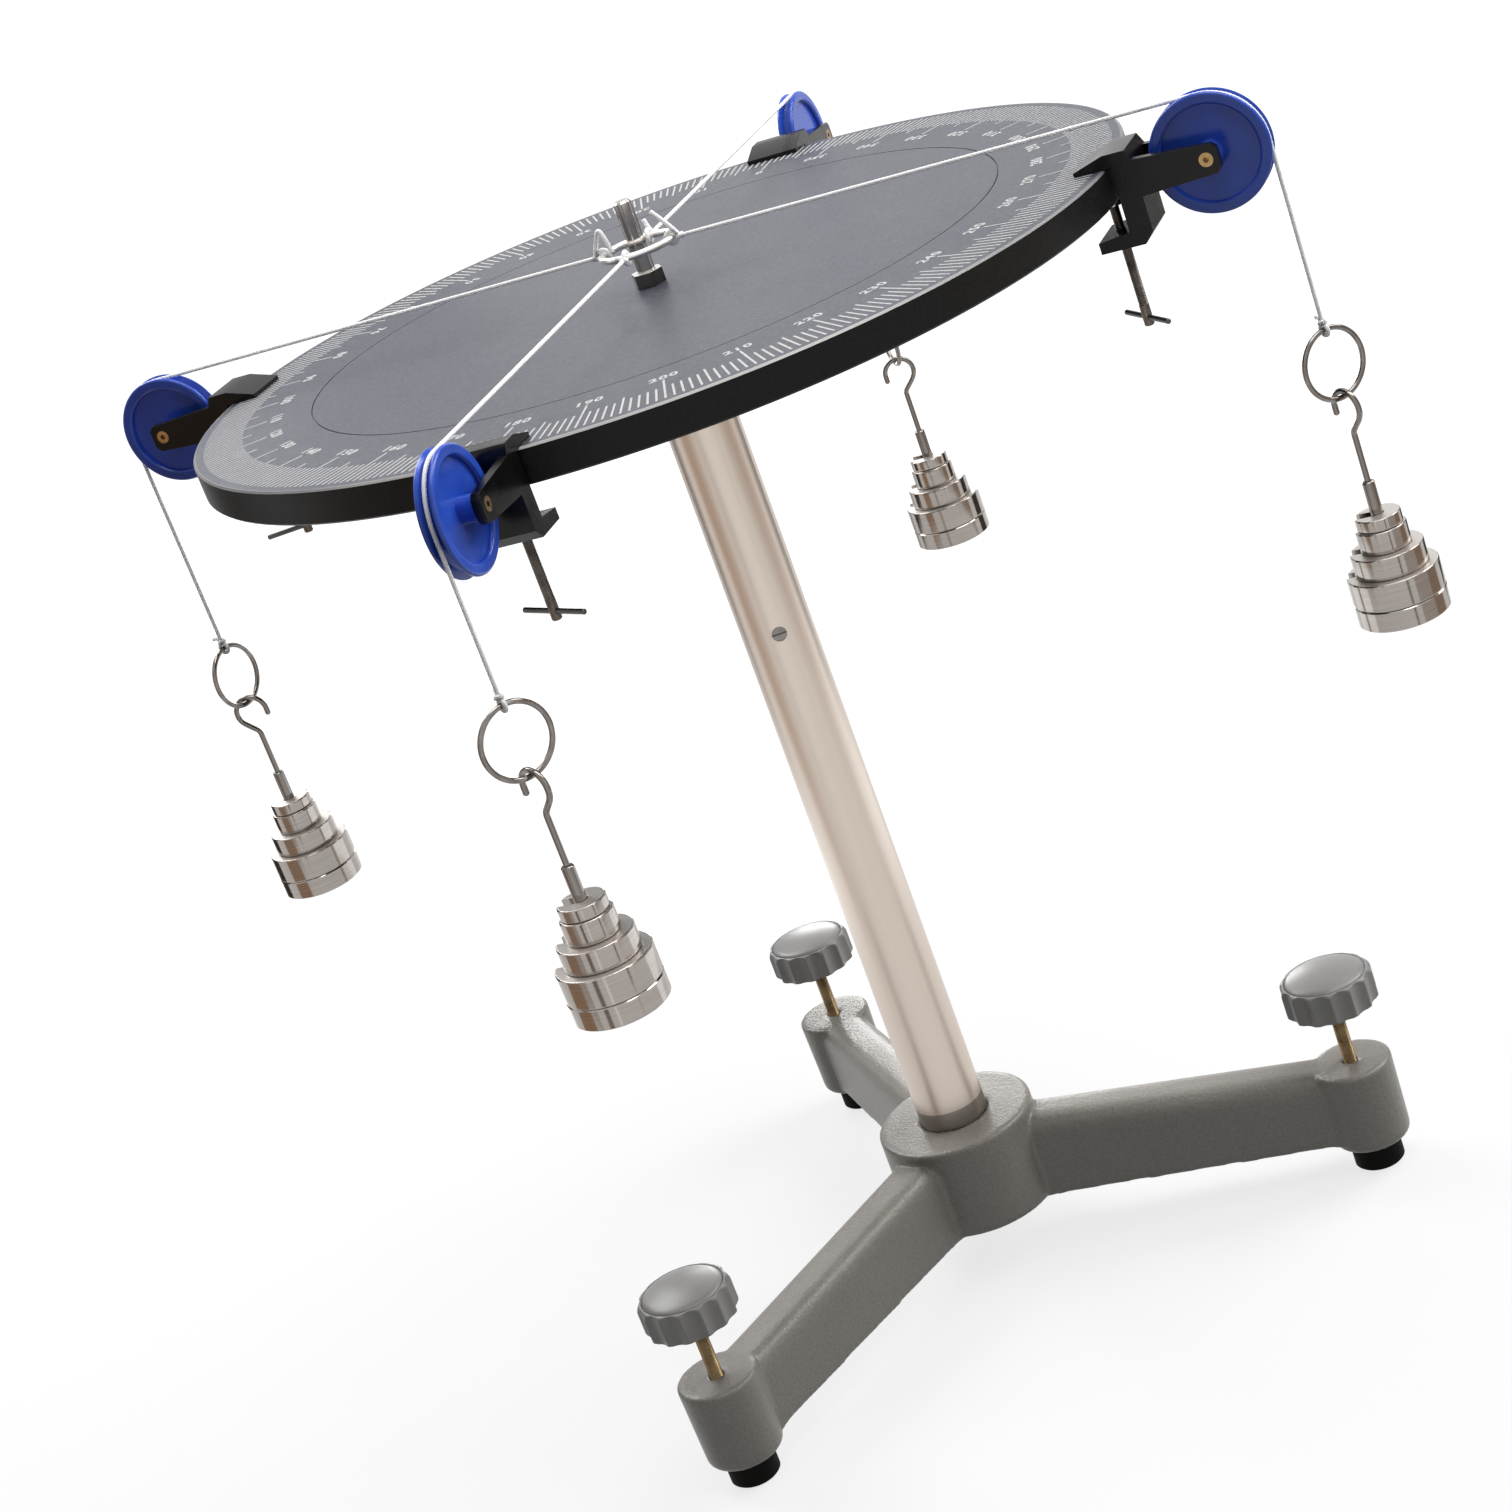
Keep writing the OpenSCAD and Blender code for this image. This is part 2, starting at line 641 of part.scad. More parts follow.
module slotted_weights(i) {
    slot_w = stem_d + 2 * slot_gap;
    color("gainsboro") at_drop(i) translate([0, 0, hook_z(i)]) for (k = [0:3]) difference() {
        bevelled_bar(weight_d[k], -disc_top(k) - weight_t[k], -disc_top(k), disc_bevel);
        translate([0, 0, -base_top - over]) cylinder(d = slot_w, h = base_top);
        rotate(slot_turn[i - 1]) translate([0, -slot_w / 2, -base_top - over])
            cube([weight_d[k], slot_w, base_top]);
    }
}

base_casting();
column_tube();
column_plug();
base_bolt();
table_socket();
column_screw();
socket_screws();
table_top();
centre_post();
post_nut();
string_ring();
for (i = [1:LEGS]) {
    level_foot(i);
    level_screw(i);
    level_knob(i);
}
for (i = [1:SETS]) {
    pulley_clamp(i);
    wheel_axle(i);
    pulley_wheel(i);
    clamp_pad(i);
    clamp_screw(i);
    tommy_bar(i);
    string(i);
    weight_ring(i);
    weight_hanger(i);
    slotted_weights(i);
}
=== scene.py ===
import bpy
import bmesh
import json
import math
import numpy as np
from mathutils import Matrix, Vector


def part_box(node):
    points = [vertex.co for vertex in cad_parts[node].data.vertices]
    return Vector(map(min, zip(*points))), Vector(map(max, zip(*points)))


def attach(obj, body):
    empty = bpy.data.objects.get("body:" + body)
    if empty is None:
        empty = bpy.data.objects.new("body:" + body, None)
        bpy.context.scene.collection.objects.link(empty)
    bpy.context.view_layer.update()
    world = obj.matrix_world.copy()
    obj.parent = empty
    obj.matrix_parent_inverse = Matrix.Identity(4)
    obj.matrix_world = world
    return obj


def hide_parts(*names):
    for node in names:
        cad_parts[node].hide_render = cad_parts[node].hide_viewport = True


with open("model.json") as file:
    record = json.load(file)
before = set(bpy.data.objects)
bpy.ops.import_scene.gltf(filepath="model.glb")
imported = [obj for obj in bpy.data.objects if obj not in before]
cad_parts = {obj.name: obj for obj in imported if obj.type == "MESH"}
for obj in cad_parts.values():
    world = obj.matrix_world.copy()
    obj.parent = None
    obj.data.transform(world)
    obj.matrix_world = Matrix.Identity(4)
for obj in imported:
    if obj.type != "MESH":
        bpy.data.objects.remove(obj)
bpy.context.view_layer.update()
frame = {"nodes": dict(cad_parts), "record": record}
nodes = frame["nodes"]
scene = bpy.context.scene
print("frame loaded:", len(nodes), "nodes")

# the camera stands where the photograph was taken and is rolled as it was
cameraView = {
    "place": (0.4861, -1.1660, 0.7213),
    "right": (0.905471, 0.268927, -0.328336),
    "up": (0.189302, 0.436498, 0.879565),
    "back": (0.379857, -0.858574, 0.344327),
    "lens": 74.76, "sensor": 36.0, "near": 0.05, "far": 60.0,
}


def placeCamera(v):
    data = bpy.data.cameras.new("photoCamera")
    data.lens = v["lens"]
    data.sensor_width = v["sensor"]
    data.clip_start = v["near"]
    data.clip_end = v["far"]
    cam = bpy.data.objects.new("photoCamera", data)
    scene.collection.objects.link(cam)
    columns = [v["right"], v["up"], v["back"]]
    rows = [[columns[k][r] for k in range(3)] + [v["place"][r]] for r in range(3)]
    cam.matrix_world = Matrix(rows + [[0.0, 0.0, 0.0, 1.0]])
    scene.camera = cam


placeCamera(cameraView)
scene.view_settings.view_transform = "Standard"
print("camera placed")

# sizes that several pieces share, in metres, as the solids have them
table = {"top": 0.465, "rim": 0.1985, "bevel": 0.0008}
sets = {
    "turn": (90.0, 179.0, 270.5, 358.0),            # where each clamp stands, degrees from +X
    "ringTop": (0.3654, 0.3559, 0.3949, 0.3809),    # middle of each weight ring's top wire
    "ringTurn": (-150.0, -12.0, -40.0, -44.0),      # which way each weight ring faces, in degrees
    "axleR": 0.2363, "axleZ": 0.459, "screwR": 0.1938,
}
legs = {"turn": (5.5, 125.5, 245.5), "radius": 0.1775}


# mesh helpers

def newObject(name, verts, faces, smooth=True):
    mesh = bpy.data.meshes.new(name)
    mesh.from_pydata(np.asarray(verts).reshape(-1, 3).tolist(), [], faces)
    mesh.update()
    if smooth:
        mesh.polygons.foreach_set("use_smooth", np.ones(len(mesh.polygons), dtype=bool))
    obj = bpy.data.objects.new(name, mesh)
    scene.collection.objects.link(obj)
    return obj


# vertex places of a mesh, as rows of X, Y and Z
def placesOf(mesh):
    points = np.zeros(len(mesh.vertices) * 3)
    mesh.vertices.foreach_get("co", points)
    return points.reshape(-1, 3)


# quads between neighbouring rows of a grid; rows close into rings, and the last row may meet the first
def gridFaces(rows, cols, closeRows=False):
    r = np.arange(rows if closeRows else rows - 1)[:, None]
    c = np.arange(cols)[None, :]
    here = r * cols
    there = (r + 1) % rows * cols
    nextCol = (c + 1) % cols
    quads = np.stack([here + c, here + nextCol, there + nextCol, there + c], -1)
    return quads.reshape(-1, 4).tolist()


# a ring of a grid closed with one many-sided face
def capFace(row, cols, flip=False):
    ids = (row * cols + np.arange(cols)).tolist()
    return ids[::-1] if flip else ids


# joins several vertex and face lists into one object
def joinParts(name, parts, smooth=True):
    verts, faces, base = [], [], 0
    for v, f in parts:
        v = np.asarray(v).reshape(-1, 3)
        verts.append(v)
        faces += [[i + base for i in face] for face in f]
        base += len(v)
    return newObject(name, np.concatenate(verts), faces, smooth)


# points turned round Z, then moved by an offset
def turned(points, degrees, offset=(0.0, 0.0, 0.0)):
    a = math.radians(degrees)
    spin = np.array([[math.cos(a), -math.sin(a), 0.0], [math.sin(a), math.cos(a), 0.0], [0.0, 0.0, 1.0]])
    return np.asarray(points) @ spin.T + np.asarray(offset)


# a level direction square to a turn round Z
def squareTo(degrees):
    a = math.radians(degrees)
    return (-math.sin(a), math.cos(a), 0.0)


# resamples a polyline at even steps
def evenly(points, step):
    points = np.asarray(points, dtype=float)
    run = np.concatenate([[0.0], np.cumsum(np.linalg.norm(np.diff(points, axis=0), axis=1))])
    s = np.linspace(0.0, run[-1], max(4, int(run[-1] / step) + 1))
    return np.stack([np.interp(s, run, points[:, k]) for k in range(3)], -1), s


# a laid cord's section, as shares of its radius: a core with three low lobes
strand = {"core": 0.97, "lobe": 0.12, "halfLobes": 1.5, "cols": 18, "side": (0.31, 0.42, 0.85)}


# a cord of three strands along a path: each row is the lobed section, which turns once in each lay
def laidCord(points, radius, step, lay, closed=False, side=strand["side"]):
    path, s = evenly(points, step)
    tangent = np.gradient(path, axis=0)
    if closed:
        path, s = path[:-1], s[:-1]
        tangent = np.roll(path, -1, axis=0) - np.roll(path, 1, axis=0)
    tangent /= np.linalg.norm(tangent, axis=1, keepdims=True)
    normal = np.cross(tangent, np.asarray(side, dtype=float))
    normal /= np.linalg.norm(normal, axis=1, keepdims=True)
    binormal = np.cross(tangent, normal)
    cols = strand["cols"]
    phi = np.linspace(0.0, 2.0 * np.pi, cols, endpoint=False)
    turns = s / lay
    if closed:
        total = s[-1] + (s[1] - s[0])
        turns = s / total * max(1, round(total / lay))
    theta = (phi[None, :] + 2.0 * np.pi * turns[:, None])[..., None]
    lobes = np.abs(np.cos(strand["halfLobes"] * phi))
    r = radius * (strand["core"] + strand["lobe"] * lobes)[None, :, None]
    verts = path[:, None] + r * (np.cos(theta) * normal[:, None] + np.sin(theta) * binormal[:, None])
    rows = len(path)
    faces = gridFaces(rows, cols, closeRows=closed)
    if not closed:
        faces += [capFace(0, cols, flip=True), capFace(rows - 1, cols)]
    return verts, faces


# material helpers

def group(name, inputs, outputs):
    tree = bpy.data.node_groups.new(name, "ShaderNodeTree")
    for label, value in inputs:
        sock = tree.interface.new_socket(label, in_out="INPUT", socket_type="NodeSocketFloat")
        sock.default_value = value
    for label in outputs:
        tree.interface.new_socket(label, in_out="OUTPUT", socket_type="NodeSocketFloat")
    return tree, tree.nodes.new("NodeGroupInput"), tree.nodes.new("NodeGroupOutput")


def addNode(tree, kind, **values):
    node = tree.nodes.new(kind)
    for key, value in values.items():
        if hasattr(node, key):
            setattr(node, key, value)
        else:
            node.inputs[key].default_value = value
    return node


def math2(tree, operation, a, b=None, clamp=False):
    node = tree.nodes.new("ShaderNodeMath")
    node.operation = operation
    node.use_clamp = clamp
    for k, value in enumerate((a, b)):
        if value is None:
            continue
        if isinstance(value, (int, float)):
            node.inputs[k].default_value = value
        else:
            tree.links.new(value, node.inputs[k])
    return node.outputs[0]


# a value less its start, times a gain, held between 0 and 1
def spreadOut(tree, value, start, gain):
    return math2(tree, "MULTIPLY", math2(tree, "SUBTRACT", value, start), gain, clamp=True)


# low where the mask is 0, high where it is 1
def between(tree, mask, low, high):
    return math2(tree, "ADD", math2(tree, "MULTIPLY", mask, high - low), low)


def mixColour(tree, fac, a, b):
    node = tree.nodes.new("ShaderNodeMix")
    node.data_type = "RGBA"
    for sock, value in ((node.inputs[0], fac), (node.inputs[6], a), (node.inputs[7], b)):
        if isinstance(value, tuple):
            sock.default_value = value + (1.0,)
        else:
            tree.links.new(value, sock)
    return node.outputs[2]


def objectPlace(tree):
    split = tree.nodes.new("ShaderNodeSeparateXYZ")
    tree.links.new(tree.nodes.new("ShaderNodeTexCoord").outputs["Object"], split.inputs[0])
    return split.outputs


def usePattern(tree, patternTree, values):
    pattern = tree.nodes.new("ShaderNodeGroup")
    pattern.node_tree = patternTree
    for label, value in values.items():
        pattern.inputs[label].default_value = value
    return pattern


def addBump(tree, shader, pattern, strength, depth):
    bump = addNode(tree, "ShaderNodeBump", Strength=strength, Distance=depth)
    tree.links.new(pattern.outputs["Height"], bump.inputs["Height"])
    tree.links.new(bump.outputs[0], shader.inputs["Normal"])


# fine cast or moulded grain: two noises, given as a height and as a mottle and a speck from 0 to 1
grain = {
    "fine": 900.0, "fineDetail": 2.0, "fineRough": 0.6,
    "broad": 60.0, "broadDetail": 4.0, "broadRough": 0.55,
    "mottleFrom": 0.3, "mottleGain": 2.5, "mottleShare": 0.3,
    "speckFrom": 0.32, "speckGain": 2.8, "speckShare": 0.7,
}


def makeGrainGroup(v):
    tree, gin, gout = group("surfaceGrain", [("Fine", v["fine"]), ("Broad", v["broad"])],
                            ["Height", "Mottle", "Speck"])
    coord = tree.nodes.new("ShaderNodeTexCoord").outputs["Object"]
    fine = addNode(tree, "ShaderNodeTexNoise", Detail=v["fineDetail"], Roughness=v["fineRough"])
    broad = addNode(tree, "ShaderNodeTexNoise", Detail=v["broadDetail"], Roughness=v["broadRough"])
    for node, label in ((fine, "Fine"), (broad, "Broad")):
        tree.links.new(coord, node.inputs["Vector"])
        tree.links.new(gin.outputs[label], node.inputs["Scale"])
    tree.links.new(fine.outputs[0], gout.inputs["Height"])
    mottle = spreadOut(tree, broad.outputs[0], v["mottleFrom"], v["mottleGain"])
    tree.links.new(mottle, gout.inputs["Mottle"])
    speck = spreadOut(tree, fine.outputs[0], v["speckFrom"], v["speckGain"])
    both = math2(tree, "ADD", math2(tree, "MULTIPLY", speck, v["speckShare"]),
                 math2(tree, "MULTIPLY", mottle, v["mottleShare"]))
    tree.links.new(both, gout.inputs["Speck"])
    return tree


# turning marks run round at one height, and drawn lines run along the height of tube and rod
turningMarks = {
    "lines": 2500.0, "scale": (0.02, 0.02, 1.0), "detail": 3.0, "rough": 0.7, "from": 0.25, "gain": 2.0,
}
drawnLines = {
    "lines": 900.0, "scale": (1.0, 1.0, 0.012), "detail": 3.0, "rough": 0.6, "from": 0.3, "gain": 2.2,
}


# fine lines: a noise drawn out by its scale, given as a height and as a streak from 0 to 1
def makeLineGroup(name, v):
    tree, gin, gout = group(name, [("Lines", v["lines"])], ["Height", "Streak"])
    stretch = addNode(tree, "ShaderNodeMapping", Scale=v["scale"])
    tree.links.new(tree.nodes.new("ShaderNodeTexCoord").outputs["Object"], stretch.inputs["Vector"])
    noise = addNode(tree, "ShaderNodeTexNoise", Detail=v["detail"], Roughness=v["rough"])
    tree.links.new(stretch.outputs[0], noise.inputs["Vector"])
    tree.links.new(gin.outputs["Lines"], noise.inputs["Scale"])
    tree.links.new(noise.outputs[0], gout.inputs["Height"])
    tree.links.new(spreadOut(tree, noise.outputs[0], v["from"], v["gain"]), gout.inputs["Streak"])
    return tree


grainGroup = makeGrainGroup(grain)
turnedGroup = makeLineGroup("turningMarks", turningMarks)
drawnGroup = makeLineGroup("drawnLines", drawnLines)

flatFrom = 0.9      # a face is level where its own normal's Z is past this


# one finish: two tints and two roughnesses mixed by a pattern, and a bump. Level faces get a lighter tint,
# a painted highlight, and their own roughness; the part under a height gets a darker tint, a painted dark
# reflection; and wireTint goes where the mesh's attribute says wire
def finish(name, patternTree, values, patternSocket, f):
    mat = bpy.data.materials.new(name)
    mat.use_nodes = True
    nt = mat.node_tree
    shader = nt.nodes["Principled BSDF"]
    shader.inputs["Metallic"].default_value = f.get("metal", 0.0)
    shader.inputs["Specular IOR Level"].default_value = f.get("specular", 0.5)
    if "sheen" in f:
        shader.inputs["Sheen Weight"].default_value = f["sheen"]
    if "through" in f:
        shader.inputs["Subsurface Weight"].default_value = f["through"]
        shader.inputs["Subsurface Radius"].default_value = (1.0, 1.0, 1.0)
        shader.inputs["Subsurface Scale"].default_value = f["throughReach"]
    pattern = usePattern(nt, patternTree, values)
    mask = pattern.outputs[patternSocket]
    tint = mixColour(nt, mask, f["dark"], f["light"])
    low, high = f["rough"]
    rough = between(nt, mask, low, high)
    # level faces: a lighter tint, a painted highlight, and a rougher finish, which is real
    if "paintedFlatHighlight" in f:
        own = addNode(nt, "ShaderNodeVectorTransform", vector_type="NORMAL",
                      convert_from="WORLD", convert_to="OBJECT")
        nt.links.new(nt.nodes.new("ShaderNodeNewGeometry").outputs["True Normal"], own.inputs[0])
        split = nt.nodes.new("ShaderNodeSeparateXYZ")
        nt.links.new(own.outputs[0], split.inputs[0])
        flat = math2(nt, "GREATER_THAN", math2(nt, "ABSOLUTE", split.outputs[2]), flatFrom)
        tint = mixColour(nt, flat, tint, f["paintedFlatHighlight"])
        rough = math2(nt, "ADD", rough, math2(nt, "MULTIPLY", flat, f["flatRough"] - low))
    # a darker tint under a height: a painted dark reflection of the hub at the tube's foot
    if "paintedFootReflection" in f:
        below = math2(nt, "LESS_THAN", objectPlace(nt)[2], f["paintedFootReflectionTop"])
        tint = mixColour(nt, below, tint, f["paintedFootReflection"])
    if "wireTint" in f:
        wire = addNode(nt, "ShaderNodeAttribute", attribute_name="wire")
        tint = mixColour(nt, wire.outputs["Fac"], tint, f["wireTint"])
    nt.links.new(tint, shader.inputs["Base Color"])
    nt.links.new(rough, shader.inputs["Roughness"])
    if "bump" in f:
        addBump(nt, shader, pattern, f["bump"], f["depth"])
    return mat


castGrey = finish("castGrey", grainGroup, {"Fine": 750.0, "Broad": 30.0}, "Speck", {
    "dark": (0.186, 0.174, 0.155), "light": (0.240, 0.226, 0.204), "metal": 0.08, "rough": (0.28, 0.42),
    "specular": 0.38, "bump": 0.60, "depth": 0.0004})
# the tube is tinted darker at its foot: a painted dark reflection of the hub
polishedTube = finish("polishedTube", drawnGroup, {"Lines": 260.0}, "Streak", {
    "dark": (0.610, 0.533, 0.468), "light": (0.640, 0.562, 0.497), "metal": 1.0, "rough": (0.33, 0.37),
    "paintedFootReflection": (0.30, 0.272, 0.245), "paintedFootReflectionTop": 0.0735})
polishedRod = finish("polishedRod", drawnGroup, {"Lines": 900.0}, "Streak", {
    "dark": (0.40, 0.38, 0.36), "light": (0.48, 0.455, 0.435), "metal": 1.0, "rough": (0.07, 0.12)})
plainSteel = finish("plainSteel", drawnGroup, {"Lines": 1200.0}, "Streak", {
    "dark": (0.33, 0.315, 0.30), "light": (0.44, 0.425, 0.405), "metal": 1.0, "rough": (0.15, 0.24),
    "bump": 0.02, "depth": 0.0001})
screwSteel = finish("screwSteel", grainGroup, {"Fine": 1500.0, "Broad": 180.0}, "Mottle", {
    "dark": (0.085, 0.072, 0.062), "light": (0.17, 0.15, 0.135), "metal": 1.0, "rough": (0.30, 0.40),
    "bump": 0.04, "depth": 0.0001})
darkSteel = finish("darkSteel", grainGroup, {"Fine": 1500.0, "Broad": 160.0}, "Mottle", {
    "dark": (0.055, 0.052, 0.048), "light": (0.11, 0.105, 0.10), "metal": 0.9, "rough": (0.26, 0.40),
    "bump": 0.08, "depth": 0.0002})
turnedAlloy = finish("turnedAlloy", turnedGroup, {"Lines": 1800.0}, "Streak", {
    "dark": (0.46, 0.46, 0.46), "light": (0.60, 0.60, 0.60), "metal": 1.0, "rough": (0.28, 0.40),
    "bump": 0.06, "depth": 0.0002})
footRubber = finish("footRubber", grainGroup, {"Fine": 1800.0, "Broad": 120.0}, "Mottle", {
    "dark": (0.003, 0.003, 0.003), "light": (0.007, 0.007, 0.006), "rough": (0.55, 0.70), "specular": 0.06,
    "bump": 0.15, "depth": 0.0002})
screwBrass = finish("screwBrass", grainGroup, {"Fine": 1200.0, "Broad": 140.0}, "Mottle", {
    "dark": (0.15, 0.105, 0.055), "light": (0.31, 0.225, 0.120), "metal": 1.0, "rough": (0.24, 0.38),
    "bump": 0.05, "depth": 0.0002})
axleBrass = finish("axleBrass", grainGroup, {"Fine": 1200.0, "Broad": 200.0}, "Mottle", {
    "dark": (0.27, 0.17, 0.075), "light": (0.43, 0.29, 0.14), "metal": 1.0, "rough": (0.22, 0.34),
    "bump": 0.04, "depth": 0.0002})
knobGrey = finish("knobGrey", grainGroup, {"Fine": 2000.0, "Broad": 70.0}, "Speck", {
    "dark": (0.200, 0.195, 0.189), "light": (0.243, 0.238, 0.231), "rough": (0.30, 0.40),
    "bump": 0.12, "depth": 0.0002})
clampBlack = finish("clampBlack", grainGroup, {"Fine": 1300.0, "Broad": 70.0}, "Mottle", {
    "dark": (0.0024, 0.0022, 0.0021), "light": (0.0056, 0.0053, 0.0051), "rough": (0.17, 0.27),
    "specular": 0.24, "bump": 0.14, "depth": 0.0003})
wheelBlue = finish("wheelBlue", grainGroup, {"Fine": 900.0, "Broad": 55.0}, "Mottle", {
    "dark": (0.018, 0.064, 0.420), "light": (0.028, 0.090, 0.540), "rough": (0.16, 0.24), "specular": 0.35,
    "bump": 0.03, "depth": 0.0002})
cordWhite = finish("cordWhite", grainGroup, {"Fine": 4000.0, "Broad": 300.0}, "Mottle", {
    "dark": (0.90, 0.89, 0.87), "light": (0.97, 0.96, 0.95), "rough": (0.80, 0.92), "sheen": 0.5,
    "through": 0.8, "throughReach": 0.002, "bump": 0.15, "depth": 0.0002})
# the level faces of discs and hanger base are tinted lighter: a painted highlight; their rougher finish is
# real
weightBright = finish("weightBright", turnedGroup, {"Lines": 1500.0}, "Streak", {
    "dark": (0.31, 0.281, 0.258), "light": (0.39, 0.358, 0.330), "metal": 1.0, "rough": (0.09, 0.13),
    "paintedFlatHighlight": (0.60, 0.57, 0.54), "flatRough": 0.40, "wireTint": (0.20, 0.182, 0.168),
    "bump": 0.02, "depth": 0.0001})
scaleWhite = finish("scaleWhite", grainGroup, {"Fine": 2600.0, "Broad": 400.0}, "Mottle", {
    "dark": (0.37, 0.37, 0.37), "light": (0.49, 0.49, 0.48), "rough": (0.50, 0.65)})
# the nut's level faces are tinted near white and its other faces near black: a painted highlight and a
# painted dark reflection
nutSteel = finish("nutSteel", grainGroup, {"Fine": 1500.0, "Broad": 180.0}, "Mottle", {
    "dark": (0.075, 0.074, 0.072), "light": (0.13, 0.128, 0.125), "metal": 1.0, "rough": (0.08, 0.14),
    "paintedFlatHighlight": (0.84, 0.83, 0.81), "flatRough": 0.30})
ringBright = finish("ringBright", grainGroup, {"Fine": 2000.0, "Broad": 250.0}, "Mottle", {
    "dark": (0.74, 0.72, 0.70), "light": (0.84, 0.82, 0.80), "metal": 1.0, "rough": (0.26, 0.36)})
wireSteel = finish("wireSteel", grainGroup, {"Fine": 1500.0, "Broad": 160.0}, "Mottle", {
    "dark": (0.15, 0.135, 0.125), "light": (0.27, 0.25, 0.235), "metal": 1.0, "rough": (0.12, 0.20)})

# the table: dark satin paint with a sheen on its face and a black rim; a painted glint runs along the top
# edge, and a painted highlight makes it brightest along the front
tablePaint = {
    "fine": 700.0, "broad": 12.0, "topDark": (0.028, 0.031, 0.046), "topLight": (0.054, 0.057, 0.074),
    "rimDark": (0.0045, 0.0045, 0.0045), "rimLight": (0.011, 0.011, 0.011), "bevelShare": 0.9,
    # the top edge's band is painted lighter all round, a painted glint, and much lighter along the front, a
    # painted highlight
    "edge": (0.15, 0.15, 0.155), "edgeWide": 0.0013,
    "paintedHighlight": (0.50, 0.49, 0.47), "paintedHighlightTurn": -72.0, "paintedHighlightFrom": 0.74, "paintedHighlightTo": 0.94,
    "rough": (0.36, 0.50), "specular": 0.15, "sheen": (0.20, 0.62), "coatRough": 0.36, "coatIor": 1.5,
    "bump": 0.12, "depth": 0.0002,
}


# face and painted glint band go above the bevel's foot; near the highlight's turn the band gets a painted
# highlight
def makeTableFinish(v):
    mat = bpy.data.materials.new("tableFinish")
    mat.use_nodes = True
    nt = mat.node_tree
    shader = nt.nodes["Principled BSDF"]
    shader.inputs["Specular IOR Level"].default_value = v["specular"]
    shader.inputs["Coat Roughness"].default_value = v["coatRough"]
    shader.inputs["Coat IOR"].default_value = v["coatIor"]
    pattern = usePattern(nt, grainGroup, {"Fine": v["fine"], "Broad": v["broad"]})
    mask = pattern.outputs["Speck"]
    x, y, z = objectPlace(nt)
    radius = math2(nt, "SQRT", math2(nt, "ADD", math2(nt, "MULTIPLY", x, x), math2(nt, "MULTIPLY", y, y)))
    onTop = math2(nt, "GREATER_THAN", z, table["top"] - table["bevel"] * v["bevelShare"])
    # a band just inside the rim, painted lighter all round: a painted glint
    onPaintedGlint = math2(nt, "GREATER_THAN", radius, table["rim"] - v["edgeWide"])
    # the band is painted brighter toward the highlight's turn: a painted highlight along the front
    turn = math.radians(v["paintedHighlightTurn"])
    toward = math2(nt, "ADD", math2(nt, "MULTIPLY", x, math.cos(turn) / table["rim"]),
                   math2(nt, "MULTIPLY", y, math.sin(turn) / table["rim"]))
    paintedHighlight = spreadOut(nt, toward, v["paintedHighlightFrom"], 1.0 / (v["paintedHighlightTo"] - v["paintedHighlightFrom"]))
    edge = mixColour(nt, paintedHighlight, v["edge"], v["paintedHighlight"])
    face = mixColour(nt, onPaintedGlint, mixColour(nt, mask, v["topDark"], v["topLight"]), edge)
    side = mixColour(nt, mask, v["rimDark"], v["rimLight"])
    nt.links.new(mixColour(nt, onTop, side, face), shader.inputs["Base Color"])
    nt.links.new(between(nt, mask, *v["rough"]), shader.inputs["Roughness"])
    nt.links.new(math2(nt, "MULTIPLY", onTop, between(nt, mask, *v["sheen"])), shader.inputs["Coat Weight"])
    addBump(nt, shader, pattern, v["bump"], v["depth"])
    return mat


tableFinish = makeTableFinish(tablePaint)
print("materials made:", len(bpy.data.materials))


def dress(obj, mat):
    obj.data.materials.clear()
    obj.data.materials.append(mat)


def addPiece(obj, mat, body, replaced=None):
    dress(obj, mat)
    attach(obj, body)
    if replaced:
        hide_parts(replaced)


# carried-over solids get their finish by slot, and a few by node
slotFinish = {
    "cast_grey": castGrey, "column_bright": polishedTube, "steel": plainSteel, "dark_steel": darkSteel,
    "table_dark": tableFinish, "alloy": turnedAlloy, "rubber_black": footRubber, "brass": screwBrass,
    "knob_grey": knobGrey, "clamp_black": clampBlack, "wheel_blue": wheelBlue, "cord_white": cordWhite,
    "weight_bright": weightBright,
}
nodeFinish = {
    "centre_post": polishedRod, "post_nut": nutSteel, "column_screw": wireSteel, "string_ring": ringBright,
}
for i in (1, 2, 3, 4):
    nodeFinish[f"wheel_axle_{i}"] = axleBrass
    nodeFinish[f"weight_ring_{i}"] = wireSteel
slotOf = {entry["node"]: entry["material_slot"] for entry in frame["record"]["subparts"]}
for node, slot in slotOf.items():
    for holder in nodes[node].material_slots:
        holder.material = nodeFinish.get(node, slotFinish[slot])

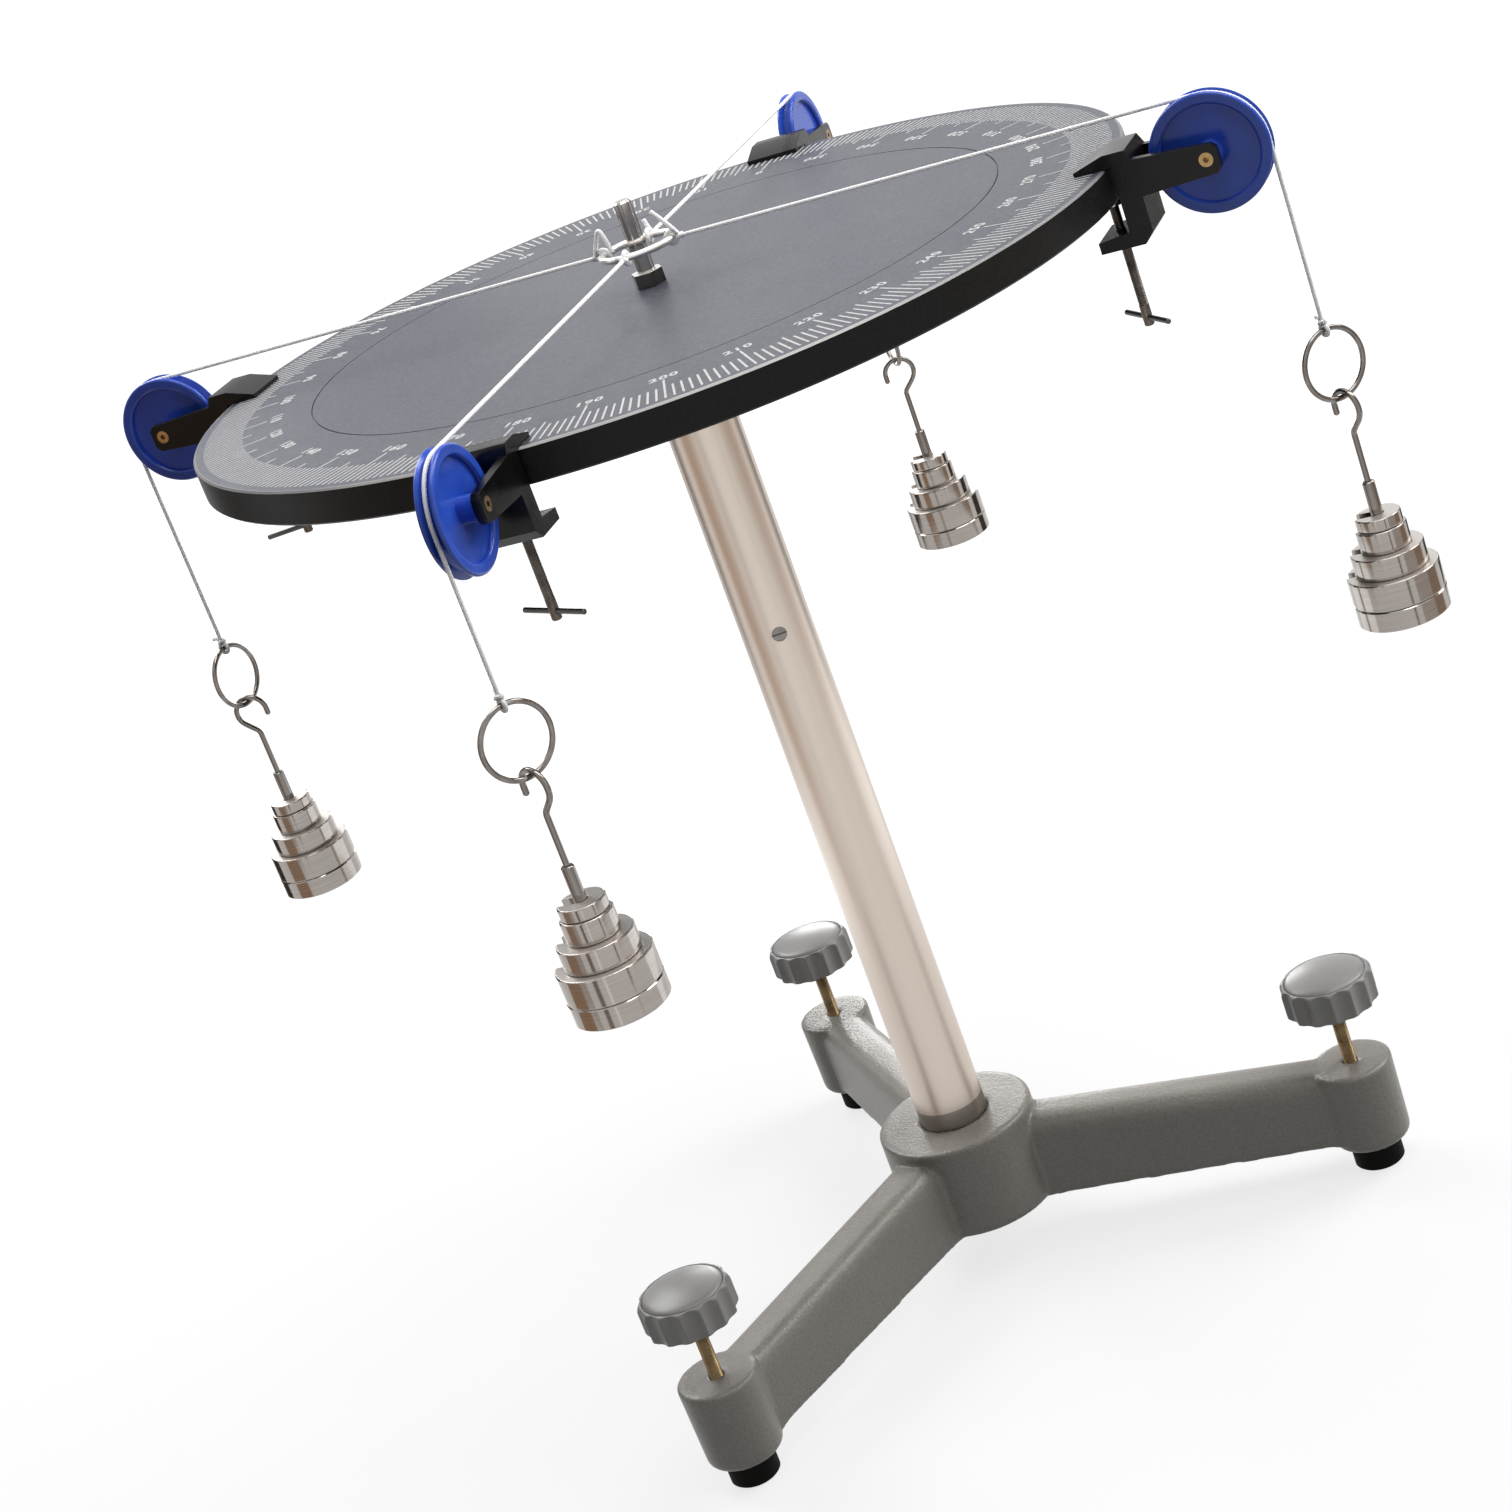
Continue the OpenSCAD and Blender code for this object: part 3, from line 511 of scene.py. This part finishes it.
# cords: from the centre ring over the wheel and down to the weight ring, with a knotted loop at each end
cord = {
    "radius": 0.0008, "lay": 0.0052, "step": 0.0005, "loopStep": 0.0003, "knotStep": 0.0002,
    "ringMid": 0.0155, "loop": 0.0026, "weightLoop": 0.0022, "knotOut": 0.00104, "knotSize": 0.00048,
    "bend": 0.0222, "bendRows": 22, "midway": (0.08, 0.16),
    "knotThick": 0.00072, "lowKnotThick": 0.00064, "tailThick": 0.00092, "lowTailThick": 0.00072,
    "tails": {      # free ends at the ring, from the knot, along X, Y and Z
        1: ((0.0, 0.0, 0.0), (-0.0003, -0.0003, 0.0020), (-0.0009, -0.0006, 0.0044),
            (-0.0014, -0.0006, 0.0064)),
        2: ((0.0, 0.0, 0.0), (0.0015, -0.0003, 0.0040), (0.0042, -0.0010, 0.0092),
            (0.0055, -0.0015, 0.0106), (0.0068, -0.0022, 0.0094), (0.0086, -0.0036, 0.0046),
            (0.0095, -0.0046, 0.0012)),
        3: ((0.0, 0.0, 0.0), (-0.0016, 0.0004, 0.0010), (-0.0034, 0.0006, 0.0014)),
        4: ((0.0, 0.0, 0.0), (-0.0030, 0.0006, 0.0045), (-0.0064, 0.0014, 0.0086),
            (-0.0094, 0.0020, 0.0120)),
    },
    "lowTail": ((0.0, 0.0, 0.0), (0.0012, 0.0014, 0.0012), (0.0030, 0.0030, 0.0014),
                (0.0046, 0.0040, 0.0008)),
    "lowTailTurn": 120.0,
}


# smooth curve through a few points: a cubic between each two, with its slope from their neighbours
def smoothPath(points, count=40):
    p = np.asarray(points, dtype=float)
    s = np.linspace(0, len(p) - 1, count)
    k = np.clip(s.astype(int), 0, len(p) - 2)
    f = (s - k)[:, None]
    q = np.concatenate([2 * p[:1] - p[1:2], p, 2 * p[-1:] - p[-2:-1]])
    a, b, c, d = q[k], q[k + 1], q[k + 2], q[k + 3]
    square = 2 * a - 5 * b + 4 * c - d
    cube = 3 * b - a - 3 * c + d
    return 0.5 * (2 * b + (c - a) * f + square * f ** 2 + cube * f ** 3)


# an overhand knot drawn tight: a trefoil
def knotPath(size, count=121):
    t = np.linspace(0.0, 2.0 * np.pi, count)
    return size * np.stack([np.sin(t) + 2 * np.sin(2 * t), np.cos(t) - 2 * np.cos(2 * t), -np.sin(3 * t)], -1)


# an upright circle round Y
def ringPath(radius, count=73):
    t = np.linspace(0.0, 2.0 * np.pi, count)
    return radius * np.stack([np.cos(t), np.zeros_like(t), np.sin(t)], -1)


# each cord runs level to its wheel, a quarter turn over it, then plumb; its loops and knots are closed rings
def makeCords(v):
    top = sets["axleZ"] + v["bend"]
    hangR = sets["axleR"] + v["bend"]
    knotR = v["ringMid"] + v["loop"] + v["knotOut"]
    knot = knotPath(v["knotSize"])
    a = np.radians(np.linspace(90.0, 0.0, v["bendRows"]))
    overWheel = v["bend"] * np.stack([np.cos(a), 0 * a, np.sin(a)], -1) + [sets["axleR"], 0.0, sets["axleZ"]]
    for i in (1, 2, 3, 4):
        turn = sets["turn"][i - 1]
        lowKnot = sets["ringTop"][i - 1] + v["weightLoop"] + v["knotOut"]
        run = np.concatenate([
            [[r, 0.0, top] for r in (knotR,) + v["midway"]],
            overWheel,
            [[hangR, 0.0, 0.5 * (sets["axleZ"] + lowKnot)], [hangR, 0.0, lowKnot]],
        ])
        path = turned(run, turn)
        across = squareTo(turn)
        string = newObject(f"cord_{i}", *laidCord(path, v["radius"], v["step"], v["lay"], side=across))
        addPiece(string, cordWhite, f"clamp_{i}", f"string_{i}")

        loop = turned(ringPath(v["loop"]) + [v["ringMid"], 0.0, top], turn)
        tied = turned(knot + [knotR, 0.0, top], turn)
        tail = smoothPath(v["tails"][i]) + turned([knotR, 0.0, top], turn)
        upper = joinParts(f"centre_knot_{i}", [
            laidCord(loop, v["radius"], v["loopStep"], v["lay"], closed=True, side=across),
            laidCord(tied, v["knotThick"], v["knotStep"], v["lay"], closed=True),
            laidCord(tail, v["tailThick"], v["loopStep"], v["lay"]),
        ])
        addPiece(upper, cordWhite, f"clamp_{i}")

        face = sets["ringTurn"][i - 1]
        hangX, hangY = turned([hangR, 0.0, 0.0], turn)[:2]
        atKnot = [hangX, hangY, lowKnot]
        loop = turned(ringPath(v["weightLoop"]), face, [hangX, hangY, sets["ringTop"][i - 1]])
        tied = turned(knot, face, atKnot)
        tail = turned(smoothPath(v["lowTail"]), face + v["lowTailTurn"], atKnot)
        lower = joinParts(f"weight_knot_{i}", [
            laidCord(loop, v["radius"], v["loopStep"], v["lay"], closed=True, side=squareTo(face)),
            laidCord(tied, v["lowKnotThick"], v["knotStep"], v["lay"], closed=True),
            laidCord(tail, v["lowTailThick"], v["loopStep"], v["lay"]),
        ])
        addPiece(lower, cordWhite, f"clamp_{i}")


makeCords(cord)
print("cords laid")

# degree scale: thin raised print, its foot just under the table's face
scaleMarks = {
    "outer": 0.1938, "one": 0.1770, "five": 0.1730, "ten": 0.1672, "width": 0.00085,
    "lift": 0.00006, "sunk": 0.00006, "zeroAt": 90.0,
    "numberR": 0.1632, "digit": 0.0066, "bold": 0.00024, "step": 10, "spacing": 0.0039, "curveSteps": 3,
}


# each mark is a thin box along a radius, longer at each five and ten
def makeMarks(v):
    deg = np.arange(360)
    inner = np.where(deg % 10 == 0, v["ten"], np.where(deg % 5 == 0, v["five"], v["one"]))
    a = np.radians(v["zeroAt"] + deg)
    out = np.stack([np.cos(a), np.sin(a)], -1)
    side = np.stack([-np.sin(a), np.cos(a)], -1) * v["width"] / 2
    corners = np.stack([inner[:, None] * out - side, v["outer"] * out - side,
                        v["outer"] * out + side, inner[:, None] * out + side], 1)
    flat = np.zeros(corners.shape[:2] + (1,))
    low = np.concatenate([corners, flat + table["top"] - v["sunk"]], -1)
    high = np.concatenate([corners, flat + table["top"] + v["lift"]], -1)
    verts = np.concatenate([low, high], 1)
    box = np.array([[4, 5, 6, 7], [3, 2, 1, 0], [0, 1, 5, 4], [1, 2, 6, 5], [2, 3, 7, 6], [3, 0, 4, 7]])
    faces = (8 * np.arange(len(deg))[:, None, None] + box).reshape(-1, 4).tolist()
    marks = newObject("scale_marks", verts, faces, smooth=False)
    addPiece(marks, scaleWhite, "stand")


# one numeral as a thin raised mesh: its vertices and faces
def digitShape(text, v):
    curve = bpy.data.curves.new("digit", "FONT")
    curve.body = text
    curve.size = v["digit"]
    curve.offset = v["bold"]
    curve.extrude = 0.5 * (v["lift"] + v["sunk"])
    curve.align_x = "CENTER"
    curve.align_y = "CENTER"
    curve.resolution_u = v["curveSteps"]
    obj = bpy.data.objects.new("digit", curve)
    scene.collection.objects.link(obj)
    mesh = bpy.data.meshes.new_from_object(obj.evaluated_get(bpy.context.evaluated_depsgraph_get()))
    verts = placesOf(mesh)
    faces = [list(p.vertices) for p in mesh.polygons]
    bpy.data.meshes.remove(mesh)
    bpy.data.objects.remove(obj)
    bpy.data.curves.remove(curve)
    return verts, faces


# a number is its digits side by side, read from outside the table, at its own degree
def makeNumbers(v):
    shapes = {c: digitShape(c, v) for c in "0123456789"}
    middle = (0.0, 0.0, table["top"] + 0.5 * (v["lift"] - v["sunk"]))
    parts = []
    for deg in range(0, 360, v["step"]):
        text = str(deg)
        for k, c in enumerate(text):
            verts, faces = shapes[c]
            shifted = verts + [(k - (len(text) - 1) / 2) * v["spacing"], -v["numberR"], 0.0]
            parts.append((turned(shifted, deg + v["zeroAt"] + 90.0, middle), faces))
    numbers = joinParts("scale_numbers", parts, smooth=False)
    addPiece(numbers, scaleWhite, "stand")


makeMarks(scaleMarks)
makeNumbers(scaleMarks)
print("scale drawn")


joinWithin = 1e-6       # corners closer than this, in metres, are one


# a copy of a solid with its loose triangles joined
def joinedCopy(node, name):
    mesh = nodes[node].data.copy()
    bm = bmesh.new()
    bm.from_mesh(mesh)
    bmesh.ops.remove_doubles(bm, verts=bm.verts, dist=joinWithin)
    bm.to_mesh(mesh)
    bm.free()
    mesh.name = name
    obj = bpy.data.objects.new(name, mesh)
    scene.collection.objects.link(obj)
    return obj


def applyModifiers(obj):
    dg = bpy.context.evaluated_depsgraph_get()
    mesh = bpy.data.meshes.new_from_object(obj.evaluated_get(dg))
    obj.modifiers.clear()
    obj.data = mesh
    mesh.polygons.foreach_set("use_smooth", np.ones(len(mesh.polygons), dtype=bool))


# the casting: the solid's form with its corners drawn soft, the arms more than the hub and bosses
casting = {
    "depth": 8, "fill": 0.95, "sharpness": 1.0, "rounds": 4, "armRounds": 10, "pull": 0.5,
    "hub": 0.0365, "boss": 0.0185, "blend": 0.006,
    "bore": 0.0157, "boreFrom": 0.00785, "boreNear": 0.0166, "boreLow": 0.0305,
}


# an arm's share is 1 clear of the hub and the bosses and falls to 0 at their walls
def armShare(points, v):
    share = np.clip((np.linalg.norm(points[:, :2], axis=1) - v["hub"]) / v["blend"], 0.0, 1.0)
    for turn in legs["turn"]:
        away = np.linalg.norm(points[:, :2] - turned([legs["radius"], 0.0, 0.0], turn)[:2], axis=1)
        share = np.minimum(share, np.clip((away - v["boss"]) / v["blend"], 0.0, 1.0))
    return share


# the tube's bore is drawn back to a true circle: near it the radius becomes the bore's own
def clearBore(mesh, v):
    p = placesOf(mesh)
    r = np.linalg.norm(p[:, :2], axis=1)
    inBore = (r > v["boreFrom"]) & (r < v["boreNear"]) & (p[:, 2] > v["boreLow"])
    p[inBore, :2] *= (v["bore"] / r[inBore])[:, None]
    mesh.vertices.foreach_set("co", p.ravel())
    mesh.update()


# the solid is cut into even cells, then each corner is drawn toward its neighbours a few times over
def makeCasting(v):
    obj = joinedCopy("base_casting", "cast_base")
    remesh = obj.modifiers.new("cells", "REMESH")
    remesh.mode = "SHARP"
    remesh.octree_depth = v["depth"]
    remesh.scale = v["fill"]
    remesh.sharpness = v["sharpness"]
    remesh.use_remove_disconnected = False
    applyModifiers(obj)
    share = np.round(armShare(placesOf(obj.data), v), 1)
    arms = obj.vertex_groups.new(name="arms")
    for level in np.unique(share[share > 0.0]):
        arms.add(np.nonzero(share == level)[0].tolist(), float(level), "REPLACE")
    for label, rounds, part in (("soften", v["rounds"], ""), ("softenArms", v["armRounds"], "arms")):
        soften = obj.modifiers.new(label, "SMOOTH")
        soften.factor = v["pull"]
        soften.iterations = rounds
        soften.vertex_group = part
    applyModifiers(obj)
    obj.vertex_groups.clear()
    clearBore(obj.data, v)
    addPiece(obj, castGrey, "stand", "base_casting")


makeCasting(casting)
print("casting softened")

# clamps, weights, hangers and nut: the solid with its edges broken, each by its own width
edges = {
    "clamp": 0.0005, "nut": 0.0006, "weight": 0.00028, "segments": 2, "angle": 28.0,
    "flatWithin": 1.0, "faceWeight": 90,
    "hangerBase": 0.0086,       # a hair above the thickness of a hanger's base
}


# faces that lie flat together are joined, then edges sharper than the angle are rounded
def bevelledCopy(node, name, width, v):
    obj = joinedCopy(node, name)
    bm = bmesh.new()
    bm.from_mesh(obj.data)
    bmesh.ops.dissolve_limit(bm, angle_limit=math.radians(v["flatWithin"]), verts=bm.verts, edges=bm.edges)
    bm.to_mesh(obj.data)
    bm.free()
    obj.data.polygons.foreach_set("use_smooth", np.ones(len(obj.data.polygons), dtype=bool))
    bevel = obj.modifiers.new("edges", "BEVEL")
    bevel.width = width
    bevel.segments = v["segments"]
    bevel.limit_method = "ANGLE"
    bevel.angle_limit = math.radians(v["angle"])
    shade = obj.modifiers.new("shade", "WEIGHTED_NORMAL")
    shade.weight = v["faceWeight"]
    applyModifiers(obj)
    return obj


# an attribute that is 1 on the hook and stem and 0 on the base
def markWire(mesh, level):
    wire = mesh.attributes.new("wire", "FLOAT", "POINT")
    wire.data.foreach_set("value", (placesOf(mesh)[:, 2] > level).astype(np.float32))


def makeBevelled(v):
    for i in (1, 2, 3, 4):
        clamp = bevelledCopy(f"pulley_clamp_{i}", f"rim_clamp_{i}", v["clamp"], v)
        addPiece(clamp, clampBlack, f"clamp_{i}", f"pulley_clamp_{i}")
        discs = bevelledCopy(f"slotted_weights_{i}", f"weight_stack_{i}", v["weight"], v)
        addPiece(discs, weightBright, f"discs_{i}", f"slotted_weights_{i}")
        hanger = bevelledCopy(f"weight_hanger_{i}", f"hook_hanger_{i}", v["weight"], v)
        markWire(hanger.data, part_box(f"weight_hanger_{i}")[0][2] + v["hangerBase"])
        addPiece(hanger, weightBright, f"hanger_{i}", f"weight_hanger_{i}")
    nut = bevelledCopy("post_nut", "hex_nut", v["nut"], v)
    addPiece(nut, nutSteel, "stand", "post_nut")


makeBevelled(edges)
print("clamps, weights and nut bevelled")

# knobs: a scalloped skirt, a rounded shoulder, a thin seam and a low domed cap
knob = {
    "low": 0.0795, "radius": 0.0205, "flutes": 14, "deep": 0.0019, "cols": 224,
    "bore": 0.00303, "grip": 0.0110, "web": 0.55, "underIn": 0.0012,
    "foot": ((-0.0010, 0.0), (-0.0003, 0.0004), (0.0, 0.0012)),     # lower edge, out from the radius and up
    "skirt": 0.0108, "shoulder": 0.0142, "shoulderRows": 12,
    "seamR": 0.0182, "seamWide": 0.0006, "seamDeep": 0.0012, "seamDraft": 0.0001, "lip": 0.0003,
    "top": 0.0175, "domeIn": 0.0012, "domeEnd": 0.0006, "domeStep": 0.0004, "domeRows": 10,
}


# the outline is turned, then cut back to radius - depth * (1 - u * u), with u 0 mid flute and 1 on a ridge
def makeKnobs(v):
    r, seam, level, cols = v["radius"], v["seamR"], v["shoulder"], v["cols"]
    inner = seam - v["seamWide"]
    skirt = [[v["bore"], v["grip"]], [v["bore"], 0.0],
             [r * v["web"], 0.0], [r - v["deep"] - v["underIn"], 0.0]]
    skirt += [[r + out, up] for out, up in v["foot"]] + [[r, 0.5 * v["skirt"]]]
    arc = np.linspace(0.0, 0.5 * np.pi, v["shoulderRows"])
    rise = level - v["skirt"]
    shoulder = np.stack([seam + (r - seam) * np.cos(arc), v["skirt"] + rise * np.sin(arc)], -1)
    groove = [[seam - v["seamDraft"], level - v["seamDeep"]], [inner + v["seamDraft"], level - v["seamDeep"]],
              [inner, level - v["lip"]], [inner - v["lip"], level + v["seamDraft"]]]
    out = np.linspace(inner - v["domeIn"], v["domeEnd"], v["domeRows"])
    domeLow = level + v["domeStep"]
    dome = np.stack([out, domeLow + (v["top"] - domeLow) * (1.0 - (out / inner) ** 2)], -1)
    profile = np.concatenate([skirt, shoulder, groove, dome])
    a = np.linspace(0.0, 2.0 * np.pi, cols, endpoint=False)
    u = np.abs(2.0 * (a * v["flutes"] / (2.0 * np.pi) % 1.0) - 1.0)
    rr = np.minimum(profile[:, :1], r - v["deep"] * (1.0 - u ** 2))
    grid = np.stack([rr * np.cos(a), rr * np.sin(a), np.repeat(v["low"] + profile[:, 1:], cols, axis=1)], -1)
    faces = gridFaces(len(profile), cols)
    faces += [capFace(0, cols, flip=True), capFace(len(profile) - 1, cols)]
    for k, turn in enumerate(legs["turn"], 1):
        place = turned([legs["radius"], 0.0, 0.0], turn)
        obj = newObject(f"fluted_knob_{k}", grid.reshape(-1, 3) + place, faces)
        addPiece(obj, knobGrey, f"leveller_{k}", f"level_knob_{k}")


makeKnobs(knob)
print("knobs made")

# screw threads
levelThread = {
    "low": 0.0053, "high": 0.0905, "radius": 0.0030, "pitch": 0.0010, "deep": 0.00045,
    "cols": 24, "perTurn": 8,
}
clampThread = {
    "low": 0.399, "plain": 0.4075, "high": 0.4482, "radius": 0.0020, "pitch": 0.0007, "deep": 0.00024,
    "cols": 20, "perTurn": 8,
}
threadForm = {"steep": 1.4, "crest": 0.2, "lead": 0.0006, "plainLead": 0.0004}


# radius falls from the crest by a triangle wave of height and angle, and tapers at both ends
def threadGrid(low, high, radius, pitch, deep, cols, perTurn, plain=None):
    z = np.append(np.arange(low, high, pitch / perTurn), high)
    a = np.linspace(0.0, 2.0 * np.pi, cols, endpoint=False)
    phase = (z[:, None] / pitch - a[None, :] / (2.0 * np.pi)) % 1.0
    wave = threadForm["steep"] * np.abs(2.0 * phase - 1.0) - threadForm["crest"]
    cut = deep * np.clip(wave, 0.0, 1.0)
    end = np.minimum(z - low, high - z)[:, None]
    cut = np.maximum(cut, np.clip(threadForm["lead"] - end, 0.0, threadForm["lead"]))
    if plain is not None:
        taper = np.clip(threadForm["plainLead"] - (z - low), 0.0, threadForm["plainLead"])
        cut = np.where(z[:, None] < plain, taper[:, None], cut)
    r = radius - cut
    grid = np.stack([r * np.cos(a), r * np.sin(a), np.repeat(z[:, None], cols, axis=1)], -1)
    faces = gridFaces(len(z), cols) + [capFace(0, cols, flip=True), capFace(len(z) - 1, cols)]
    return grid.reshape(-1, 3), faces


def makeThreads():
    verts, faces = threadGrid(**levelThread)
    for k, turn in enumerate(legs["turn"], 1):
        obj = newObject(f"level_thread_{k}", verts + turned([legs["radius"], 0.0, 0.0], turn), faces)
        addPiece(obj, screwBrass, f"leveller_{k}", f"level_screw_{k}")
    verts, faces = threadGrid(**clampThread)
    for i, turn in enumerate(sets["turn"], 1):
        obj = newObject(f"clamp_thread_{i}", verts + turned([sets["screwR"], 0.0, 0.0], turn), faces)
        addPiece(obj, screwSteel, f"screw_{i}", f"clamp_screw_{i}")


makeThreads()
print("threads cut")

# stage: pale floor, soft lamps, a plain white world, and glowing sheets round about, seen only in polish
stage = {
    "floor": (0.18, 0.18, 0.18), "glowNear": 0.76, "glowFar": 1.0, "near": 0.55, "far": 1.7, "reach": 12.0,
    "ambient": 0.10,
}


# 1 for rays from the camera, from polish and through clear stuff, and 0 for soft light
def seenRays(tree):
    rays = tree.nodes.new("ShaderNodeLightPath").outputs
    sharp = math2(tree, "MAXIMUM", rays["Is Glossy Ray"], rays["Is Transmission Ray"])
    return math2(tree, "MAXIMUM", rays["Is Camera Ray"], sharp)


# white to the camera, brighter further out where the lamps fade, and darker only where the object shades it
def makeFloor(v):
    s = v["reach"]
    floor = newObject("floor", [[-s, -s, 0], [s, -s, 0], [s, s, 0], [-s, s, 0]], [[0, 1, 2, 3]], smooth=False)
    mat = bpy.data.materials.new("paleFloor")
    mat.use_nodes = True
    nt = mat.node_tree
    nt.nodes.remove(nt.nodes["Principled BSDF"])
    diffuse = addNode(nt, "ShaderNodeBsdfDiffuse", Color=v["floor"] + (1.0,))
    reach = addNode(nt, "ShaderNodeVectorMath", operation="LENGTH")
    nt.links.new(nt.nodes.new("ShaderNodeTexCoord").outputs["Object"], reach.inputs[0])
    fade = nt.nodes.new("ShaderNodeMapRange")
    ends = {"From Min": "near", "From Max": "far", "To Min": "glowNear", "To Max": "glowFar"}
    for label, key in ends.items():
        fade.inputs[label].default_value = v[key]
    nt.links.new(reach.outputs["Value"], fade.inputs["Value"])
    glow = nt.nodes.new("ShaderNodeEmission")
    nt.links.new(math2(nt, "MULTIPLY", seenRays(nt), fade.outputs[0]), glow.inputs["Strength"])
    both = nt.nodes.new("ShaderNodeAddShader")
    nt.links.new(diffuse.outputs[0], both.inputs[0])
    nt.links.new(glow.outputs[0], both.inputs[1])
    nt.links.new(both.outputs[0], nt.nodes["Material Output"].inputs["Surface"])
    dress(floor, mat)


# white to the camera and in metal, a soft grey level for everything else
def makeWorld(v):
    world = bpy.data.worlds.new("studio")
    scene.world = world
    world.use_nodes = True
    nt = world.node_tree
    back = nt.nodes["Background"]
    nt.links.new(between(nt, seenRays(nt), v["ambient"], 1.0), back.inputs["Strength"])
    back.inputs["Color"].default_value = (1.0, 1.0, 1.0, 1.0)


# glowing sheets that stand round the set or lie on the floor, seen only in polish: painted reflections, light
# and dark
glowSheets = {
    "facing": -67.4, "radius": 0.86, "gap": 0.004, "low": 0.0, "high": 0.95, "cols": 14, "lift": 0.0005,
    "upright": (    # turn from the camera's side and half the spread, both in degrees, and the shade
        (-72.0, 15.0, (0.50, 0.36, 0.27)),
        (-51.0, 6.0, (0.66, 0.60, 0.55)),
        (54.0, 14.0, (0.66, 0.61, 0.57)),
        (80.0, 12.0, (0.46, 0.34, 0.26)),
        (-124.0, 13.0, (0.07, 0.055, 0.045)),
        (120.0, 11.0, (0.08, 0.07, 0.06)),
        (-30.0, 3.5, (0.34, 0.28, 0.24)),
        (27.0, 2.2, (0.36, 0.32, 0.29)),
        (-15.0, 1.6, (1.5, 1.48, 1.45)),
        (-163.0, 9.0, (0.60, 0.60, 0.62)),
    ),
    "flat": (       # turn, half the spread, nearest and furthest radius, and the shade
        (-72.0, 15.0, 0.60, 0.86, (0.50, 0.33, 0.22)),
        (-118.0, 42.0, 0.40, 0.57, (1.6, 1.65, 1.68)),
        (106.0, 29.0, 0.47, 0.76, (1.7, 1.76, 1.80)),
    ),
}


# a glowing sheet, seen only in polish, is bent round Z: it runs through its turns, and up from the floor or
# out along it
def makeBoard(name, turn, spread, lines, shade, v):
    mat = bpy.data.materials.new(name)
    mat.use_nodes = True
    nt = mat.node_tree
    nt.nodes.remove(nt.nodes["Principled BSDF"])
    # the sheet glows with its colour though it is no lamp: what polish sees of it is a painted reflection
    tone = addNode(nt, "ShaderNodeEmission", Color=shade + (1.0,))
    nt.links.new(tone.outputs[0], nt.nodes["Material Output"].inputs["Surface"])
    a = np.radians(v["facing"] + turn + np.linspace(-spread, spread, v["cols"]))
    grid = np.stack([np.stack([r * np.cos(a), r * np.sin(a), np.full_like(a, z)], -1) for r, z in lines])
    c = np.arange(v["cols"] - 1)
    faces = np.stack([c, c + 1, c + 1 + v["cols"], c + v["cols"]], -1).tolist()
    glowSheet = newObject(name, grid, faces, smooth=False)
    dress(glowSheet, mat)
    glowSheet.visible_camera = False
    glowSheet.visible_diffuse = False
    glowSheet.visible_shadow = False


def makeBoards(v):
    for k, (turn, spread, shade) in enumerate(v["upright"], 1):
        r = v["radius"] - v["gap"] * k
        makeBoard(f"standing_glow_sheet_{k}", turn, spread, ((r, v["low"]), (r, v["high"])), shade, v)
    for k, (turn, spread, near, far, shade) in enumerate(v["flat"], 1):
        z = v["lift"] * k
        makeBoard(f"lying_glow_sheet_{k}", turn, spread, ((near, z), (far, z)), shade, v)


lamps = (
    {"name": "topLamp", "place": (0.5, -0.1, 2.6), "aim": 0.3, "size": 1.6, "power": 35.0},
    {"name": "backLeftLamp", "place": (-1.6, 1.0, 2.0), "aim": 0.3, "size": 1.4, "power": 46.0},
    {"name": "backRightLamp", "place": (1.7, 1.2, 1.9), "aim": 0.3, "size": 1.4, "power": 50.0},
    {"name": "kickLamp", "place": (-0.35, 0.98, 0.30), "aim": 0.05, "size": 0.3, "power": 2.2},
    {"name": "leftLamp", "place": (-1.0, -2.0, 1.2), "aim": 0.3, "size": 1.4, "power": 3.4},
    {"name": "rightLamp", "place": (2.2, -0.3, 1.1), "aim": 0.3, "size": 1.4, "power": 13.0},
)


# each lamp looks at a point on the column's axis, at its aim's height
def makeLamps(rows):
    for v in rows:
        data = bpy.data.lights.new(v["name"], "AREA")
        data.shape = "SQUARE"
        data.size = v["size"]
        data.energy = v["power"]
        lamp = bpy.data.objects.new(v["name"], data)
        scene.collection.objects.link(lamp)
        lamp.location = v["place"]
        lamp.visible_camera = False
        look = Vector((0.0, 0.0, v["aim"])) - lamp.location
        lamp.rotation_euler = look.to_track_quat("-Z", "Y").to_euler()


makeFloor(stage)
makeWorld(stage)
makeBoards(glowSheets)
makeLamps(lamps)
print("stage lit")
